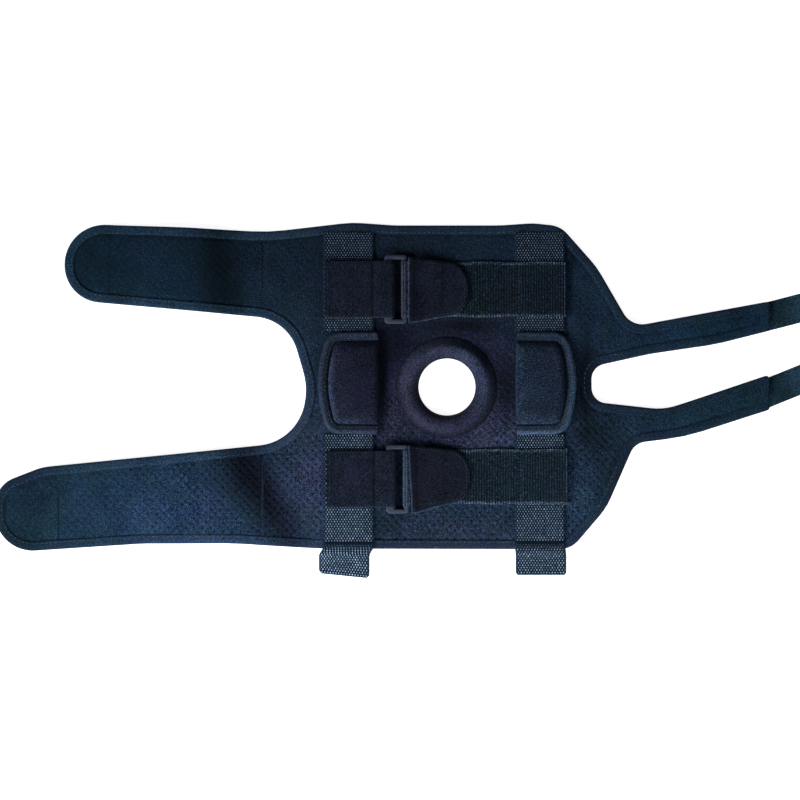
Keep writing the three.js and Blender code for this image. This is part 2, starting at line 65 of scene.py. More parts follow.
def node_centre(node):
    low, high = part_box(node)
    return (low[0] + high[0]) / 2, (low[1] + high[1]) / 2


HOLE_X, HOLE_Y = node_centre("patella_ring")

# Outline of the whole sheet, clockwise from the upper wing: corner place and rounding.
OUTLINE = [
    ("upper wing tip, top", -336.6, 144.1, 35.2),
    ("upper wing, top edge", -226, 140, 260),
    ("dip at the seam", -157.5, 136.4, 175),
    ("over the left webbing", -83.6, 145, 97),
    ("top edge, left", -46, 142.3, 105),
    ("top edge, right", 46.5, 142.3, 105),
    ("over the right webbing", 75.7, 144.3, 53),
    ("right shoulder", 100, 141.7, 23),
    ("right slope", 132, 105.6, 79),
    ("upper arm root", 162.4, 53.2, 19),
    ("upper arm end, top", 284.2, 75.5, 3.5),
    ("upper arm end, low", 284.2, 49.5, 3.5),
    ("upper arm, middle", 236, 37.4, 132),
    ("upper arm, low edge", 178.6, 29, 88),
    ("arm notch, top", 127.2, 17.6, 13.5),
    ("arm notch, low", 127.6, -12.8, 13.5),
    ("lower arm, high edge", 191, -19.8, 53),
    ("lower arm end, top", 284.2, 11.2, 3.5),
    ("lower arm end, low", 284.2, -20, 3.5),
    ("lower arm, belly", 208.6, -44, 176),
    ("lower arm root", 165.4, -49.5, 15.5),
    ("right flank", 140.6, -106.2, 61),
    ("right hem", 109.3, -143, 23),
    ("left hem", -113.5, -142.4, 264),
    ("hem at the seam", -186, -137.4, 240),
    ("lower wing, low edge", -268, -137.8, 140),
    ("lower wing tip, low", -397.8, -146.5, 33.4),
    ("lower wing tip, top", -397.8, -86.5, 26),
    ("lower wing, slope", -356.4, -70.5, 44),
    ("leg gap, low", -133.1, -48.2, 45),
    ("leg gap, middle", -122.4, -1.1, 58),
    ("leg gap, top", -139.9, 59.2, 41),
    ("upper wing tip, low", -336.6, 77, 33),
]
CORNERS = np.array([(x, y) for _, x, y, _ in OUTLINE], float)
ROUNDS = np.array([reach for _, _, _, reach in OUTLINE], float)

# Where the wings are sewn on, the two seams from y to y, and half the height that parts the wings.
SEAM_X = -162.8
SEAM_ENDS = {"upper": (129.5, 71), "lower": (-62, -130.5)}
LEG_GAP = 20

# Height of the sheet's underside: a line from x on a half's upper side to x on its lower side.
HALF_HEIGHT = 160
ARM_ARCH = [(160, 160, 0), (222, 222, 5.5), (270, 270, 2)]
UPPER_LIE = [(-296, -296, 2), (-238, -226, 7.5), (-176, -168, 0), *ARM_ARCH]
LOWER_LIE = [(-343, -343, 2), (-236, -158, 7.5), (-184, -107, 0), *ARM_ARCH]

# The ends of the arms are sewn flat.
ARM_PRESS = {"start": 246, "reach": 34, "share": 0.45}

# Painted light and shade on the sheet and its tape, with some tint: a patch's middle, reach, turn and
# share of each colour.
LIGHT_AND_TINT_PATCHES = [
    ("upper wing tip", -322, 110, 30, 45, 0, (0.64, 0.79, 0.7)),
    ("upper wing", -255, 105, 75, 60, 0, (0.84, 0.93, 0.95)),
    ("upper wing, behind its arch", -199, 104, 22, 70, 8, (0.34, 0.36, 0.31)),
    ("lower wing tip", -378, -115, 34, 60, 0, (0.68, 0.73, 0.7)),
    ("lower wing, lit middle", -240, -108, 64, 34, 6, (1.9, 1.4, 1.62)),
    ("lower wing, behind its arch", -158, -98, 15, 62, 27, (0.33, 0.26, 0.28)),
    ("lower wing, towards the seam", -180, -72, 22, 38, 27, (0.42, 0.36, 0.35)),
    ("upper edge", -80, 155, 320, 80, 0, (0.66, 0.6, 0.6)),
    ("body", 0, -10, 150, 150, 0, (1.52, 0.85, 0.89)),
    ("round the kneecap", 0, 0, 80, 62, 0, (1.25, 0.62, 0.78)),
    ("above left of the kneecap", -52, 40, 30, 26, 0, (0.22, 0.22, 0.32)),
    ("below right of the kneecap", 48, -44, 32, 20, 0, (2.05, 1.68, 1.7)),
    ("over the kneecap", 14, 54, 34, 8, 0, (0.22, 0.22, 0.24)),
    ("right of the kneecap", 53, 0, 9, 28, 0, (0.28, 0.36, 0.32)),
    ("left of the kneecap", -53, -34, 9, 24, 0, (1.7, 1.35, 1.2)),
    ("beside the left pad", -57, 3, 6, 46, 0, (0.07, 0.11, 0.1)),
    ("beside the right pad", 122, 2, 8, 48, 0, (0.04, 0.07, 0.06)),
    ("upper buckle's slot", -43, 86, 5, 34, 0, (0.18, 0.2, 0.26)),
    ("lower buckle's slot", -42, -81, 5, 34, 0, (0.18, 0.2, 0.26)),
    ("lower left of the body", -120, -86, 32, 46, 0, (2.5, 1.32, 1.5)),
    ("upper left of the body", -122, 88, 34, 46, 0, (0.88, 0.78, 0.8)),
    ("right flank", 146, -76, 18, 40, 0, (0.6, 0.58, 0.55)),
    ("beside the left loop", -54, -122, 12, 14, 0, (0.55, 0.66, 0.55)),
    ("lower wing, low by the seam", -191, -116, 16, 11, 0, (1.35, 1.15, 1.2)),
    ("lower wing, up by the seam", -191, -89, 12, 9, 0, (0.8, 0.74, 0.68)),
    ("below the right pad", 128, -44, 16, 16, 0, (0.55, 0.55, 0.52)),
    ("along the hem", 10, -128, 90, 16, 0, (1.45, 0.98, 1.0)),
    ("lower right of the body", 117, -98, 15, 36, 0, (1.65, 1.4, 1.45)),
    ("upper arm", 232, 44, 66, 26, 0, (0.85, 1.05, 1.1)),
    ("lower arm", 244, -16, 56, 34, 0, (0.88, 1.05, 0.9)),
    ("arm roots", 180, 6, 24, 60, 0, (0.9, 0.82, 0.82)),
]

# Thicknesses and edges of the padded sheet.
PANEL = {
    "thick": 4.0,
    "gap": 0.3,
    "edge": 2.0,
    "roll": 3.5,
    "flange_low": 1.5,
    "flange_high": 3.2,
    "seam_slant": 1.5,
}
ON_PANEL = PANEL["thick"] + PANEL["gap"]

# Pores: column and row as shares of the pitch, stray, and points and reach of the rings round each.
PORE_LATTICE = (1.37, 0.72)
PORE_STRAY = 0.33
PORE_RINGS = ((6, 0.5), (8, 1.0))

BINDING = {"lip": 8.0, "wall": 1.0, "low": 0.2, "high": 4.6, "puff": 0.15, "step": 3.0, "sewn": 1.6}
# Light on the binding along x: places, share on the lower edge, share on the upper edge.
BINDING_LIGHT = (
    (-370, -302, -260, -200, -130, -60, 60, 130, 190, 240),
    (1.05, 1.5, 1.2, 1.9, 1.6, 1.12, 1.2, 1.15, 0.85, 1.25),
    (1.5, 1.25, 1.2, 1.45, 1.35, 0.95, 1.1, 0.85, 0.95, 1.05),
)
# Stretch of the arms where the tape is sewn with dark thread.
ARM_STITCHES = (150, 272)

RING = {"hole": 25.0, "sleeve": 27.2, "outer": 44.0, "rim": 5.0, "crown": 9.9, "sides": 160}

WEBBING = {"width": 44.5, "thick": 1.6, "left": -86.5, "right": 81.8}
WEB_INNER = {
    "left": WEBBING["left"] + WEBBING["width"] / 2,
    "right": WEBBING["right"] - WEBBING["width"] / 2,
}
# Raised yarns of the webbing: size, and share of light along y.
FLOAT = {"Wide": 1.1, "Long": 1.65, "High": 0.75}
FLOAT_LIGHT = ((-168, -125, -45, 50, 135), (1.5, 1.1, 0.92, 0.6, 0.45))
# Loops below the hem, and for each the low end, lean and slope.
LOOP = {"hem": -143.0, "fall": -146.5, "reach": 18.0, "lean_over": 7.2, "corner": 3.5, "sewn": 6.4}
LOOP_ENDS = {"left": (-166.4, -4.0, 0.1), "right": (-165.8, 1.0, 0.0)}

PAD = {"inner": 61.0, "outer": 115.0, "low": -42.0, "top": 49.2, "flange": 6.5, "crown": 11.0}
PAD_MIDDLE = (PAD["low"] + PAD["top"]) / 2
# Rows from a pad's foot to its crown: depth at the sewn edges, depth at the free edge, height, tone
# (painted shade in the groove beside the tape, a painted highlight on the face's edge), fall of the two
# ends and gain of tone there.
PAD_ROWS = [
    ("foot", 1.4, 0.0, 4.4, 0.5, 0, 0),
    ("side", 1.3, -0.1, 5.5, 0.5, 0, 0),
    ("under the tape", 1.4, 0.0, 6.4, 0.5, 0, 0),
    ("beside the tape", 8.1, 0.1, 6.5, 0.3, 0, 1.4),
    ("groove", 9.2, 0.2, 6.6, 0.25, 0, 1.4),
    ("wall of the groove", 9.4, 0.3, 7.7, 0.8, 0.6, 0.3),
    ("edge, low", 9.9, 0.6, 8.8, 1.6, 1.3, -0.25),
    ("edge", 10.8, 1.2, 9.6, 1.3, 1.7, -0.15),
    ("shoulder, low", 12.4, 2.4, 10.2, 1.05, 1.4, 0),
    ("shoulder", 15.0, 5.0, 10.6, 1.0, 0.8, 0),
    ("face", 18.5, 8.5, 10.9, 0.95, 0.3, 0),
    ("crown", 21.0, 12.0, 11.0, 0.9, 0, 0),
]
# Section of the pads' tape from the lip over the roll to its foot and back inside: depth and height.
PAD_TAPE = [
    ("lip", 8.0, 7.2),
    ("lip, top", 7.3, 7.4),
    ("sewn line", 6.2, 7.6),
    ("roll, inner side", 5.0, 8.2),
    ("roll, inner top", 3.6, 8.8),
    ("roll, outer top", 2.2, 8.8),
    ("crest", 1.0, 8.2),
    ("shoulder", 0.3, 7.2),
    ("wall", 0.0, 5.1),
    ("wall, low", 0.2, 4.4),
    ("foot", 1.0, 4.3),
    ("inside wall", 1.0, 6.3),
    ("inside corner", 1.6, 6.9),
    ("lip, underside", 8.0, 6.9),
]
# Each pad's side, tone, gain of painted light on its lit edge, tone of its tape, painted light on the
# tape from low to top, and painted light on the tape's crest, shoulder and wall.
PADS = {
    "left": {
        "side": -1,
        "tone": (0.58, 0.53, 0.57),
        "edge": 1.3,
        "tape_tone": (1.36, 0.8, 0.76),
        "tape_light": (1.3, 0.95, 0.95),
        "ridge": (1.25, 1.0, 0.8),
    },
    "right": {
        "side": 1,
        "tone": (0.86, 1.06, 1.0),
        "edge": -0.15,
        "tape_tone": (1.4, 0.93, 0.84),
        "tape_light": (1.6, 1.3, 0.75),
        "ridge": (1.8, 2.2, 2.2),
    },
}

# Each strap set: height of its middle, shift to the right, drop of the buckle, shares of light, tone of
# the elastic round the bar, lighter from its stretch and from painted light, and how far the tab's free
# corners hang and lean.
STRAPS = {
    "upper": {
        "y": 85.8,
        "shift": 0.0,
        "drop": 0.0,
        "anchor_light": 0.8,
        "elastic_light": 0.6,
        "tab_light": 0.84,
        "wrap_tone": (4.2, 1.74, 1.48),
        "hang": 0.06,
        "lean": 0.0,
    },
    "lower": {
        "y": -78.8,
        "shift": 1.5,
        "drop": -2.2,
        "anchor_light": 0.77,
        "elastic_light": 0.644,
        "tab_light": 0.67,
        "wrap_tone": (3.83, 2.25, 2.12),
        "hang": 0.15,
        "lean": 0.055,
    },
}
STRAP = {"anchor": 50.0, "elastic": 49.0, "anchor_left": -107.0, "elastic_right": 104.2, "ply": 1.4}
SELVEDGE_TONE = (1.7, 1.0, 0.95)
BUCKLE = {"left": -55.0, "right": -35.0, "thick": 3.0, "width": 60.5, "mid": 7.7, "corner": 3.4}
BUCKLE_BARS = {"left": 7.2, "right": 4.0, "sides": 4.0}
TAB = {"left": -34.0, "right": 18.6, "left_half": 28.4, "right_half": 24.0, "thick": 1.9, "round": 19.5}

# Undersides of the doubled strap, and of the tab on the fold of the elastic and past it.
STRAP_LEVEL = {"anchor": 6.45, "tab_fold": 8.15, "tab_flat": 6.25}

# Tapes on the arms: place and turn of each, and light from the arm's end outwards.
ARM_TAB = {"width": 25.0, "thick": 1.5, "under": 11.0, "free": 53.0, "corner": 5.0}
ARM_TABS = {"upper_arm_tab": (284.2, 62.5, 14.5), "lower_arm_tab": (284.2, -4.6, 22.0)}
ARM_TAB_LIGHT = ((0, 3, 7, 12, 18, 25), (2.0, 0.85, 0.68, 0.8, 1.03, 1.5))
# Patches under the wings: which half each is on and its inner end, and the sunk seam of the lower one.
WING_HOOK = {"upper_wing_hook": (1, -298.0), "lower_wing_hook": (-1, -343.0)}
PATCH_SEAM = (-341.6, -97.0, -135.0)
HOOK_INSET, HOOK_THICK = 9.5, 1.6

# Stitch lines: y to y on the webbing above and below the pads; depth, height and distance from the
# free edge on a pad's tape; heights on the straps; y to y at the upper patch's end; x, x and y along
# the lower patch's edge.
WEBBING_SEWN = ((131, 52), (-45, -126))
PAD_SEWN = (6.4, 7.65, 2)
STRAP_SEWN = {"anchor": 9.95, "elastic": 8.35}
PATCH_END = (131, 84)
PATCH_EDGE = (-366, -342, -134.4)

PHOTO = {"pixels": 800, "mm_per_pixel": 0.88, "hole_px": (447, 387)}


class BraceSizes(bpy.types.PropertyGroup):
    """Sizes of the repeated details"""

    pore_pitch: FloatProperty(
        name="Pore pitch",
        description="Distance between perforations, in millimetres",
        default=5.4,
        min=3,
    )
    pore_radius: FloatProperty(
        name="Pore radius", description="Radius of a perforation, in millimetres", default=1.05, min=0.2
    )
    pore_depth: FloatProperty(
        name="Pore depth", description="Depth of a perforation, in millimetres", default=0.75, min=0.1
    )
    float_pitch: FloatProperty(
        name="Float pitch",
        description="Distance between weave floats across, in millimetres",
        default=2.5,
        min=1,
    )
    float_row: FloatProperty(
        name="Float row",
        description="Distance between rows of floats, in millimetres",
        default=2.1,
        min=0.5,
    )
    stitch_pitch: FloatProperty(
        name="Stitch pitch", description="Distance between stitches, in millimetres", default=4.1, min=1
    )
    stitch_length: FloatProperty(
        name="Stitch length",
        description="Length of the thread that shows, in millimetres",
        default=2.9,
        min=0.5,
    )
    thread_radius: FloatProperty(
        name="Thread radius",
        description="Radius of the sewing thread, in millimetres",
        default=0.3,
        min=0.05,
    )
    seed: IntProperty(name="Seed", description="Seed of the cloth's small unevenness", default=7)


class BraceColours(bpy.types.PropertyGroup):
    """Base colours of the materials"""

    panel: FloatVectorProperty(
        name="Panel", description="Face knit", subtype="COLOR", size=3, default=(0.0081, 0.0278, 0.0536)
    )
    binding: FloatVectorProperty(
        name="Binding",
        description="Edge tape",
        subtype="COLOR",
        size=3,
        default=(0.0135, 0.0360, 0.0690),
    )
    hook: FloatVectorProperty(
        name="Hook tape",
        description="Arm tabs and wing patches",
        subtype="COLOR",
        size=3,
        default=(0.0116, 0.0348, 0.0531),
    )
    webbing: FloatVectorProperty(
        name="Webbing",
        description="Webbing ground",
        subtype="COLOR",
        size=3,
        default=(0.0027, 0.0108, 0.0255),
    )
    float_yarn: FloatVectorProperty(
        name="Floats",
        description="Raised yarn of the webbing",
        subtype="COLOR",
        size=3,
        default=(0.1800, 0.2650, 0.3700),
    )
    strap: FloatVectorProperty(
        name="Strap",
        description="Loop strap",
        subtype="COLOR",
        size=3,
        default=(0.0088, 0.0134, 0.0280),
    )
    elastic: FloatVectorProperty(
        name="Elastic",
        description="Elastic strap",
        subtype="COLOR",
        size=3,
        default=(0.0066, 0.0176, 0.0305),
    )
    tab: FloatVectorProperty(
        name="Tab",
        description="Fastening tab",
        subtype="COLOR",
        size=3,
        default=(0.0090, 0.0136, 0.0275),
    )
    ring: FloatVectorProperty(
        name="Ring",
        description="Kneecap ring",
        subtype="COLOR",
        size=3,
        default=(0.0215, 0.0262, 0.0525),
    )
    pad: FloatVectorProperty(
        name="Pad", description="Side pads", subtype="COLOR", size=3, default=(0.0165, 0.0240, 0.0500)
    )
    buckle: FloatVectorProperty(
        name="Buckle",
        description="Moulded buckle",
        subtype="COLOR",
        size=3,
        default=(0.0400, 0.0500, 0.0820),
    )
    thread: FloatVectorProperty(
        name="Thread",
        description="Sewing thread of the tape",
        subtype="COLOR",
        size=3,
        default=(0.048, 0.078, 0.1),
    )
    dark_thread: FloatVectorProperty(
        name="Dark thread",
        description="Sewing thread of the straps",
        subtype="COLOR",
        size=3,
        default=(0.03, 0.04, 0.06),
    )
    patch_thread: FloatVectorProperty(
        name="Patch thread",
        description="Thread of the hook patches",
        subtype="COLOR",
        size=3,
        default=(0.005, 0.015, 0.03),
    )


class BraceStage(bpy.types.PropertyGroup):
    """Camera and light"""

    camera_height: FloatProperty(
        name="Camera height",
        description="Height of the camera",
        default=2.4,
        subtype="DISTANCE",
        unit="LENGTH",
    )
    key_power: FloatProperty(
        name="Key",
        description="Power of the key light, in watts",
        default=2.65,
        min=0,
    )
    window_power: FloatProperty(
        name="Window",
        description="Strength of the low light from the left, in watts a square metre",
        default=2.0,
        min=0,
    )
    fill_power: FloatProperty(
        name="Fill",
        description="Power of the overhead fill, in watts",
        default=0.8,
        min=0,
    )
    floor_glow: FloatProperty(
        name="Floor glow",
        description="How far the floor is lifted to white",
        default=0.9,
    )


# Outlines and paths.


def rounded(points, rounds, step=math.radians(5)):
    """One closed run of points round the corners, each turned by its own radius."""
    run = []
    for i, here in enumerate(points):
        back = points[i - 1] - here
        ahead = points[(i + 1) % len(points)] - here
        back, ahead = back / np.linalg.norm(back), ahead / np.linalg.norm(ahead)
        if rounds[i] <= 0:
            run.append(here)
            continue
        half = math.acos(np.clip(back @ ahead, -1, 1)) / 2
        to_middle = (back + ahead) / np.linalg.norm(back + ahead)
        middle = here + to_middle * rounds[i] / math.sin(half)
        spoke = here + back * rounds[i] / math.tan(half) - middle
        turn = (math.pi - 2 * half) * np.sign(ahead[0] * back[1] - ahead[1] * back[0])
        steps = max(1, round(abs(turn) / step))
        for k in range(steps + 1):
            c, s = math.cos(turn * k / steps), math.sin(turn * k / steps)
            run.append(middle + np.array([c * spoke[0] - s * spoke[1], s * spoke[0] + c * spoke[1]]))
    return np.array(run)


def inset(points, rounds, depths):
    """Corners of a clockwise outline moved inward, each edge by its own depth."""
    depths = np.broadcast_to(np.asarray(depths, float), len(points))
    ahead = np.roll(points, -1, axis=0) - points
    ahead /= np.linalg.norm(ahead, axis=1)[:, None]
    starts = points + np.stack([ahead[:, 1], -ahead[:, 0]], 1) * depths[:, None]
    moved, tighter = [], []
    for i in range(len(points)):
        into, out = ahead[i - 1], ahead[i]
        bend = into[0] * out[1] - into[1] * out[0]
        gap = starts[i] - starts[i - 1]
        moved.append(starts[i - 1] + into * (gap[0] * out[1] - gap[1] * out[0]) / bend)
        tighter.append(max(0.4, rounds[i] + np.sign(bend) * (depths[i - 1] + depths[i]) / 2))
    return np.array(moved), np.array(tighter)


def plan_run(points, rounds, depths, step):
    """A rounded plan's run at the given depths, with the same number of points at every depth."""
    base = rounded(points, rounds)
    lengths = np.linalg.norm(np.roll(base, -1, axis=0) - base, axis=1)
    pieces = np.maximum(1, np.ceil(lengths / step).astype(int))
    run = rounded(*inset(points, rounds, depths))
    stretches = zip(run, np.roll(run, -1, axis=0), pieces)
    return np.concatenate([a + (b - a) * np.arange(n)[:, None] / n for a, b, n in stretches])


def outline_run(depth, step):
    """The brace's own outline at one depth from its edge."""
    return plan_run(CORNERS, ROUNDS, depth, step)


def smoothed(points, step, rounds):
    """An open line with its corners cut round, resampled evenly."""
    line = np.array(points, float)
    for _ in range(rounds):
        a = line[:-1] * 0.75 + line[1:] * 0.25
        b = line[:-1] * 0.25 + line[1:] * 0.75
        line = np.concatenate([line[:1], np.stack([a, b], 1).reshape(-1, line.shape[1]), line[-1:]])
    return resampled(line, step)


def resampled(line, step):
    travel = travelled(line)
    places = np.linspace(0, travel[-1], max(2, round(travel[-1] / step) + 1))
    return np.stack([np.interp(places, travel, line[:, k]) for k in range(line.shape[1])], 1)


def travelled(line):
    """Length along an open line up to each of its points."""
    return np.concatenate([[0], np.cumsum(np.linalg.norm(np.diff(line, axis=0), axis=1))])


def headings(line):
    """Direction of an open line at each of its points."""
    heading = np.gradient(line, axis=0)
    return heading / np.linalg.norm(heading, axis=1)[:, None]


def circle(radius, sides):
    turns = np.linspace(0, 2 * math.pi, sides, endpoint=False)
    return radius * np.stack([np.cos(turns), np.sin(turns)], 1)


def upright(x, y0, y1, step=3.0):
    """A straight line in the plan at one x."""
    return np.array([(x, y) for y in np.linspace(y0, y1, max(2, round(abs(y1 - y0) / step)))])


def at_height(run, z):
    return np.column_stack([run, np.full(len(run), z)])


def clipped(run, axis, limit, keep_above):
    """A closed run cut off along one straight line."""
    side = (run[:, axis] - limit) * (1 if keep_above else -1)
    kept = []
    for i in range(len(run)):
        j = (i + 1) % len(run)
        if side[i] >= 0:
            kept.append(run[i])
        if side[i] * side[j] < 0:
            kept.append(run[i] + (run[j] - run[i]) * side[i] / (side[i] - side[j]))
    return np.array(kept)


def distance_to(run, places):
    """Distance from each place to a closed run of straight stretches."""
    a, b = run, np.roll(run, -1, axis=0)
    best = np.full(len(places), np.inf)
    for p, q in zip(a, b):
        along = q - p
        share = np.clip((places - p) @ along / max(along @ along, 1e-9), 0, 1)
        best = np.minimum(best, np.linalg.norm(places - p - share[:, None] * along, axis=1))
    return best


def inside(run, places):
    """Which places lie inside a closed run."""
    hit = np.zeros(len(places), bool)
    for p, q in zip(run, np.roll(run, -1, axis=0)):
        if p[1] == q[1]:
            continue
        spans = (p[1] > places[:, 1]) != (q[1] > places[:, 1])
        hit ^= spans & (places[:, 0] < (q[0] - p[0]) * (places[:, 1] - p[1]) / (q[1] - p[1]) + p[0])
    return hit


def ease(share):
    """A soft rise from 0 to 1 over a share from 0 to 1."""
    share = np.clip(share, 0, 1)
    return (1 - np.cos(math.pi * share)) / 2


def near(away, reach):
    """1 at no distance, falling off softly over the reach."""
    return np.exp(-((away / reach) ** 2))


def lie(x, y):
    """Height of the sheet's underside over the floor."""
    x, y = np.broadcast_arrays(np.asarray(x, float), np.asarray(y, float))
    height = np.zeros(x.shape)
    for rows, half in ((UPPER_LIE, y > 0), (LOWER_LIE, y <= 0)):
        down = np.where(y > 0, HALF_HEIGHT - y, -y) / HALF_HEIGHT
        places = [upper + (lower - upper) * down for upper, lower, _ in rows]
        level = np.full(x.shape, float(rows[0][2]))
        for k in range(1, len(rows)):
            share = (x - places[k - 1]) / (places[k] - places[k - 1])
            level += (rows[k][2] - rows[k - 1][2]) * ease(share)
        height = np.where(half, level, height)
    return height


def pressed(x):
    """Share of the sheet's thickness that is left where an arm's end is sewn flat."""
    return 1 - ARM_PRESS["share"] * ease((x - ARM_PRESS["start"]) / ARM_PRESS["reach"])


def ripple(x, y):
    """The slight unevenness of cloth that lies loose."""
    return 0.14 * np.sin(x / 17 + y / 29) + 0.1 * np.sin(y / 13 - x / 41 + 1.3)


# Meshes.


def to_frame(points):
    """Millimetres about the hole to metres in the part's frame."""
    return np.asarray(points, float) * MM + np.array([HOLE_X, HOLE_Y, 0])


def linked(name, data):
    """A new object in the scene."""
    made = bpy.data.objects.new(name, data)
    bpy.context.scene.collection.objects.link(made)
    return made


def make_piece(name, points, faces, material, uv=None, tone_and_light=None):
    """A smooth closed mesh object from points in millimetres."""
    mesh = bpy.data.meshes.new(name)
    mesh.from_pydata(to_frame(points).tolist(), [], [list(map(int, face)) for face in faces])
    if uv is not None:
        layer = mesh.uv_layers.new(name="cloth")
        order = np.empty(len(mesh.loops), int)
        mesh.loops.foreach_get("vertex_index", order)
        layer.data.foreach_set("uv", (np.asarray(uv)[order] * MM).ravel())
    if tone_and_light is not None:
        store_tone_and_light(mesh, tone_and_light)
    mesh.shade_smooth()
    mesh.materials.append(material)
    piece = linked(name, mesh)
    outward(mesh)
    return piece


def store_tone_and_light(mesh, tone_and_light):
    """Stores the share of each colour at every point, which holds tint and painted light and shade, and
    of the fibres' contrast where it is given.
    """
    tone = mesh.attributes.new("tone_and_light", "FLOAT_COLOR", "POINT")
    rgba = tone_and_light if tone_and_light.shape[1] == 4 else np.column_stack([tone_and_light, np.ones(len(tone_and_light))])
    tone.data.foreach_set("color", rgba.astype(np.float32).ravel())


def outward(mesh):
    """Turns every face to the outside of its shell."""
    shell = bmesh.new()
    shell.from_mesh(mesh)
    bmesh.ops.recalc_face_normals(shell, faces=shell.faces)
    shell.to_mesh(mesh)
    shell.free()


def finish_piece(piece, node):
    """Puts a piece in the place of the part's own solid."""
    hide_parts(node)
    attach(piece, "root")


def skin(rings, closed=False):
    """Faces over rings of equal count: a tube, joined end to start or capped."""
    n, m = len(rings), len(rings[0])
    faces = []
    for i in range(n if closed else n - 1):
        a, b = i * m, ((i + 1) % n) * m
        faces += [(a + k, a + (k + 1) % m, b + (k + 1) % m, b + k) for k in range(m)]
    if not closed:
        faces += [tuple(range(m - 1, -1, -1)), tuple(range((n - 1) * m, n * m))]
    return faces


def tube(name, rings, material, uv=None, tone_and_light=None, closed=False):
    """A piece skinned over rings, with its cloth coordinates and its tint and painted light given ring
    by ring.
    """
    flat = [None if part is None else part.reshape(-1, part.shape[-1]) for part in (uv, tone_and_light)]
    return make_piece(name, rings.reshape(-1, 3), skin(rings, closed), material, *flat)


# A band's points from edge to edge, closest where its edges turn, and how square those edges are.
ACROSS = np.array([-1, -0.99, -0.965, -0.92, *np.linspace(-0.86, 0.86, 15), 0.92, 0.965, 0.99, 1])
EDGE_SQUARE = 14


def strip(
    name, path, half_width, thick, material, along="x", middle=0.0, relief=None, skew=None, tone_and_light=None
):
    """A flat band that follows a path in its side view, with rounded edges and some relief."""
    half_width = np.broadcast_to(np.asarray(half_width, float), len(path))
    heading, travel = headings(path), travelled(path)
    loop = np.concatenate([ACROSS, ACROSS[-2:0:-1]])
    side = np.concatenate([np.ones(len(ACROSS)), -np.ones(len(ACROSS) - 2)])
    level = 1 - np.abs(loop) ** EDGE_SQUARE
    across = loop * half_width[:, None]
    reach = thick / 2 * level**0.5 * side + 0 * across
    if relief is not None:
        reach = reach + relief(travel[:, None], across) * level * side
    a = path[:, :1] - heading[:, 1:] * reach
    z = path[:, 1:] + heading[:, :1] * reach
    b = across + middle
    points = np.stack([a, b, z] if along == "x" else [b, a, z], 2)
    if skew is not None:
        points = skew(points)
    uv = np.stack([travel[:, None] + 0 * across, across], 2)
    tone = np.ones((*across.shape, 4))
    # Each place's tint and painted light, from the given function.
    if tone_and_light is not None:
        share = tone_and_light(path[:, :1], across / half_width[:, None])
        share = share if share.ndim == 3 else np.repeat(share[..., None], 3, axis=2)
        tone[..., : share.shape[2]] *= share
    return tube(name, points, material, uv, tone)


# Shader groups and materials.


def group_tree(name, inputs, outputs):
    tree = bpy.data.node_groups.new(name, "ShaderNodeTree")
    for label, kind, value in inputs:
        socket = tree.interface.new_socket(label, in_out="INPUT", socket_type=kind)
        socket.default_value = value
    for label, kind in outputs:
        tree.interface.new_socket(label, in_out="OUTPUT", socket_type=kind)
    return tree, tree.nodes.new("NodeGroupInput"), tree.nodes.new("NodeGroupOutput")


def add_node(tree, kind, inputs=None, **settings):
    """A node with its settings, and each named or numbered input set or linked."""
    node = tree.nodes.new(kind)
    for key, value in settings.items():
        setattr(node, key, value)
    for key, value in (inputs or {}).items():
        if isinstance(value, bpy.types.NodeSocket):
            tree.links.new(value, node.inputs[key])
        else:
            node.inputs[key].default_value = value
    return node


def math_node(tree, operation, a, b=0.0, c=0.0):
    return add_node(tree, "ShaderNodeMath", {0: a, 1: b, 2: c}, operation=operation).outputs[0]


def vector_node(tree, operation, a, b):
    key = "Scale" if operation == "SCALE" else 1
    return add_node(tree, "ShaderNodeVectorMath", {0: a, key: b}, operation=operation).outputs[0]


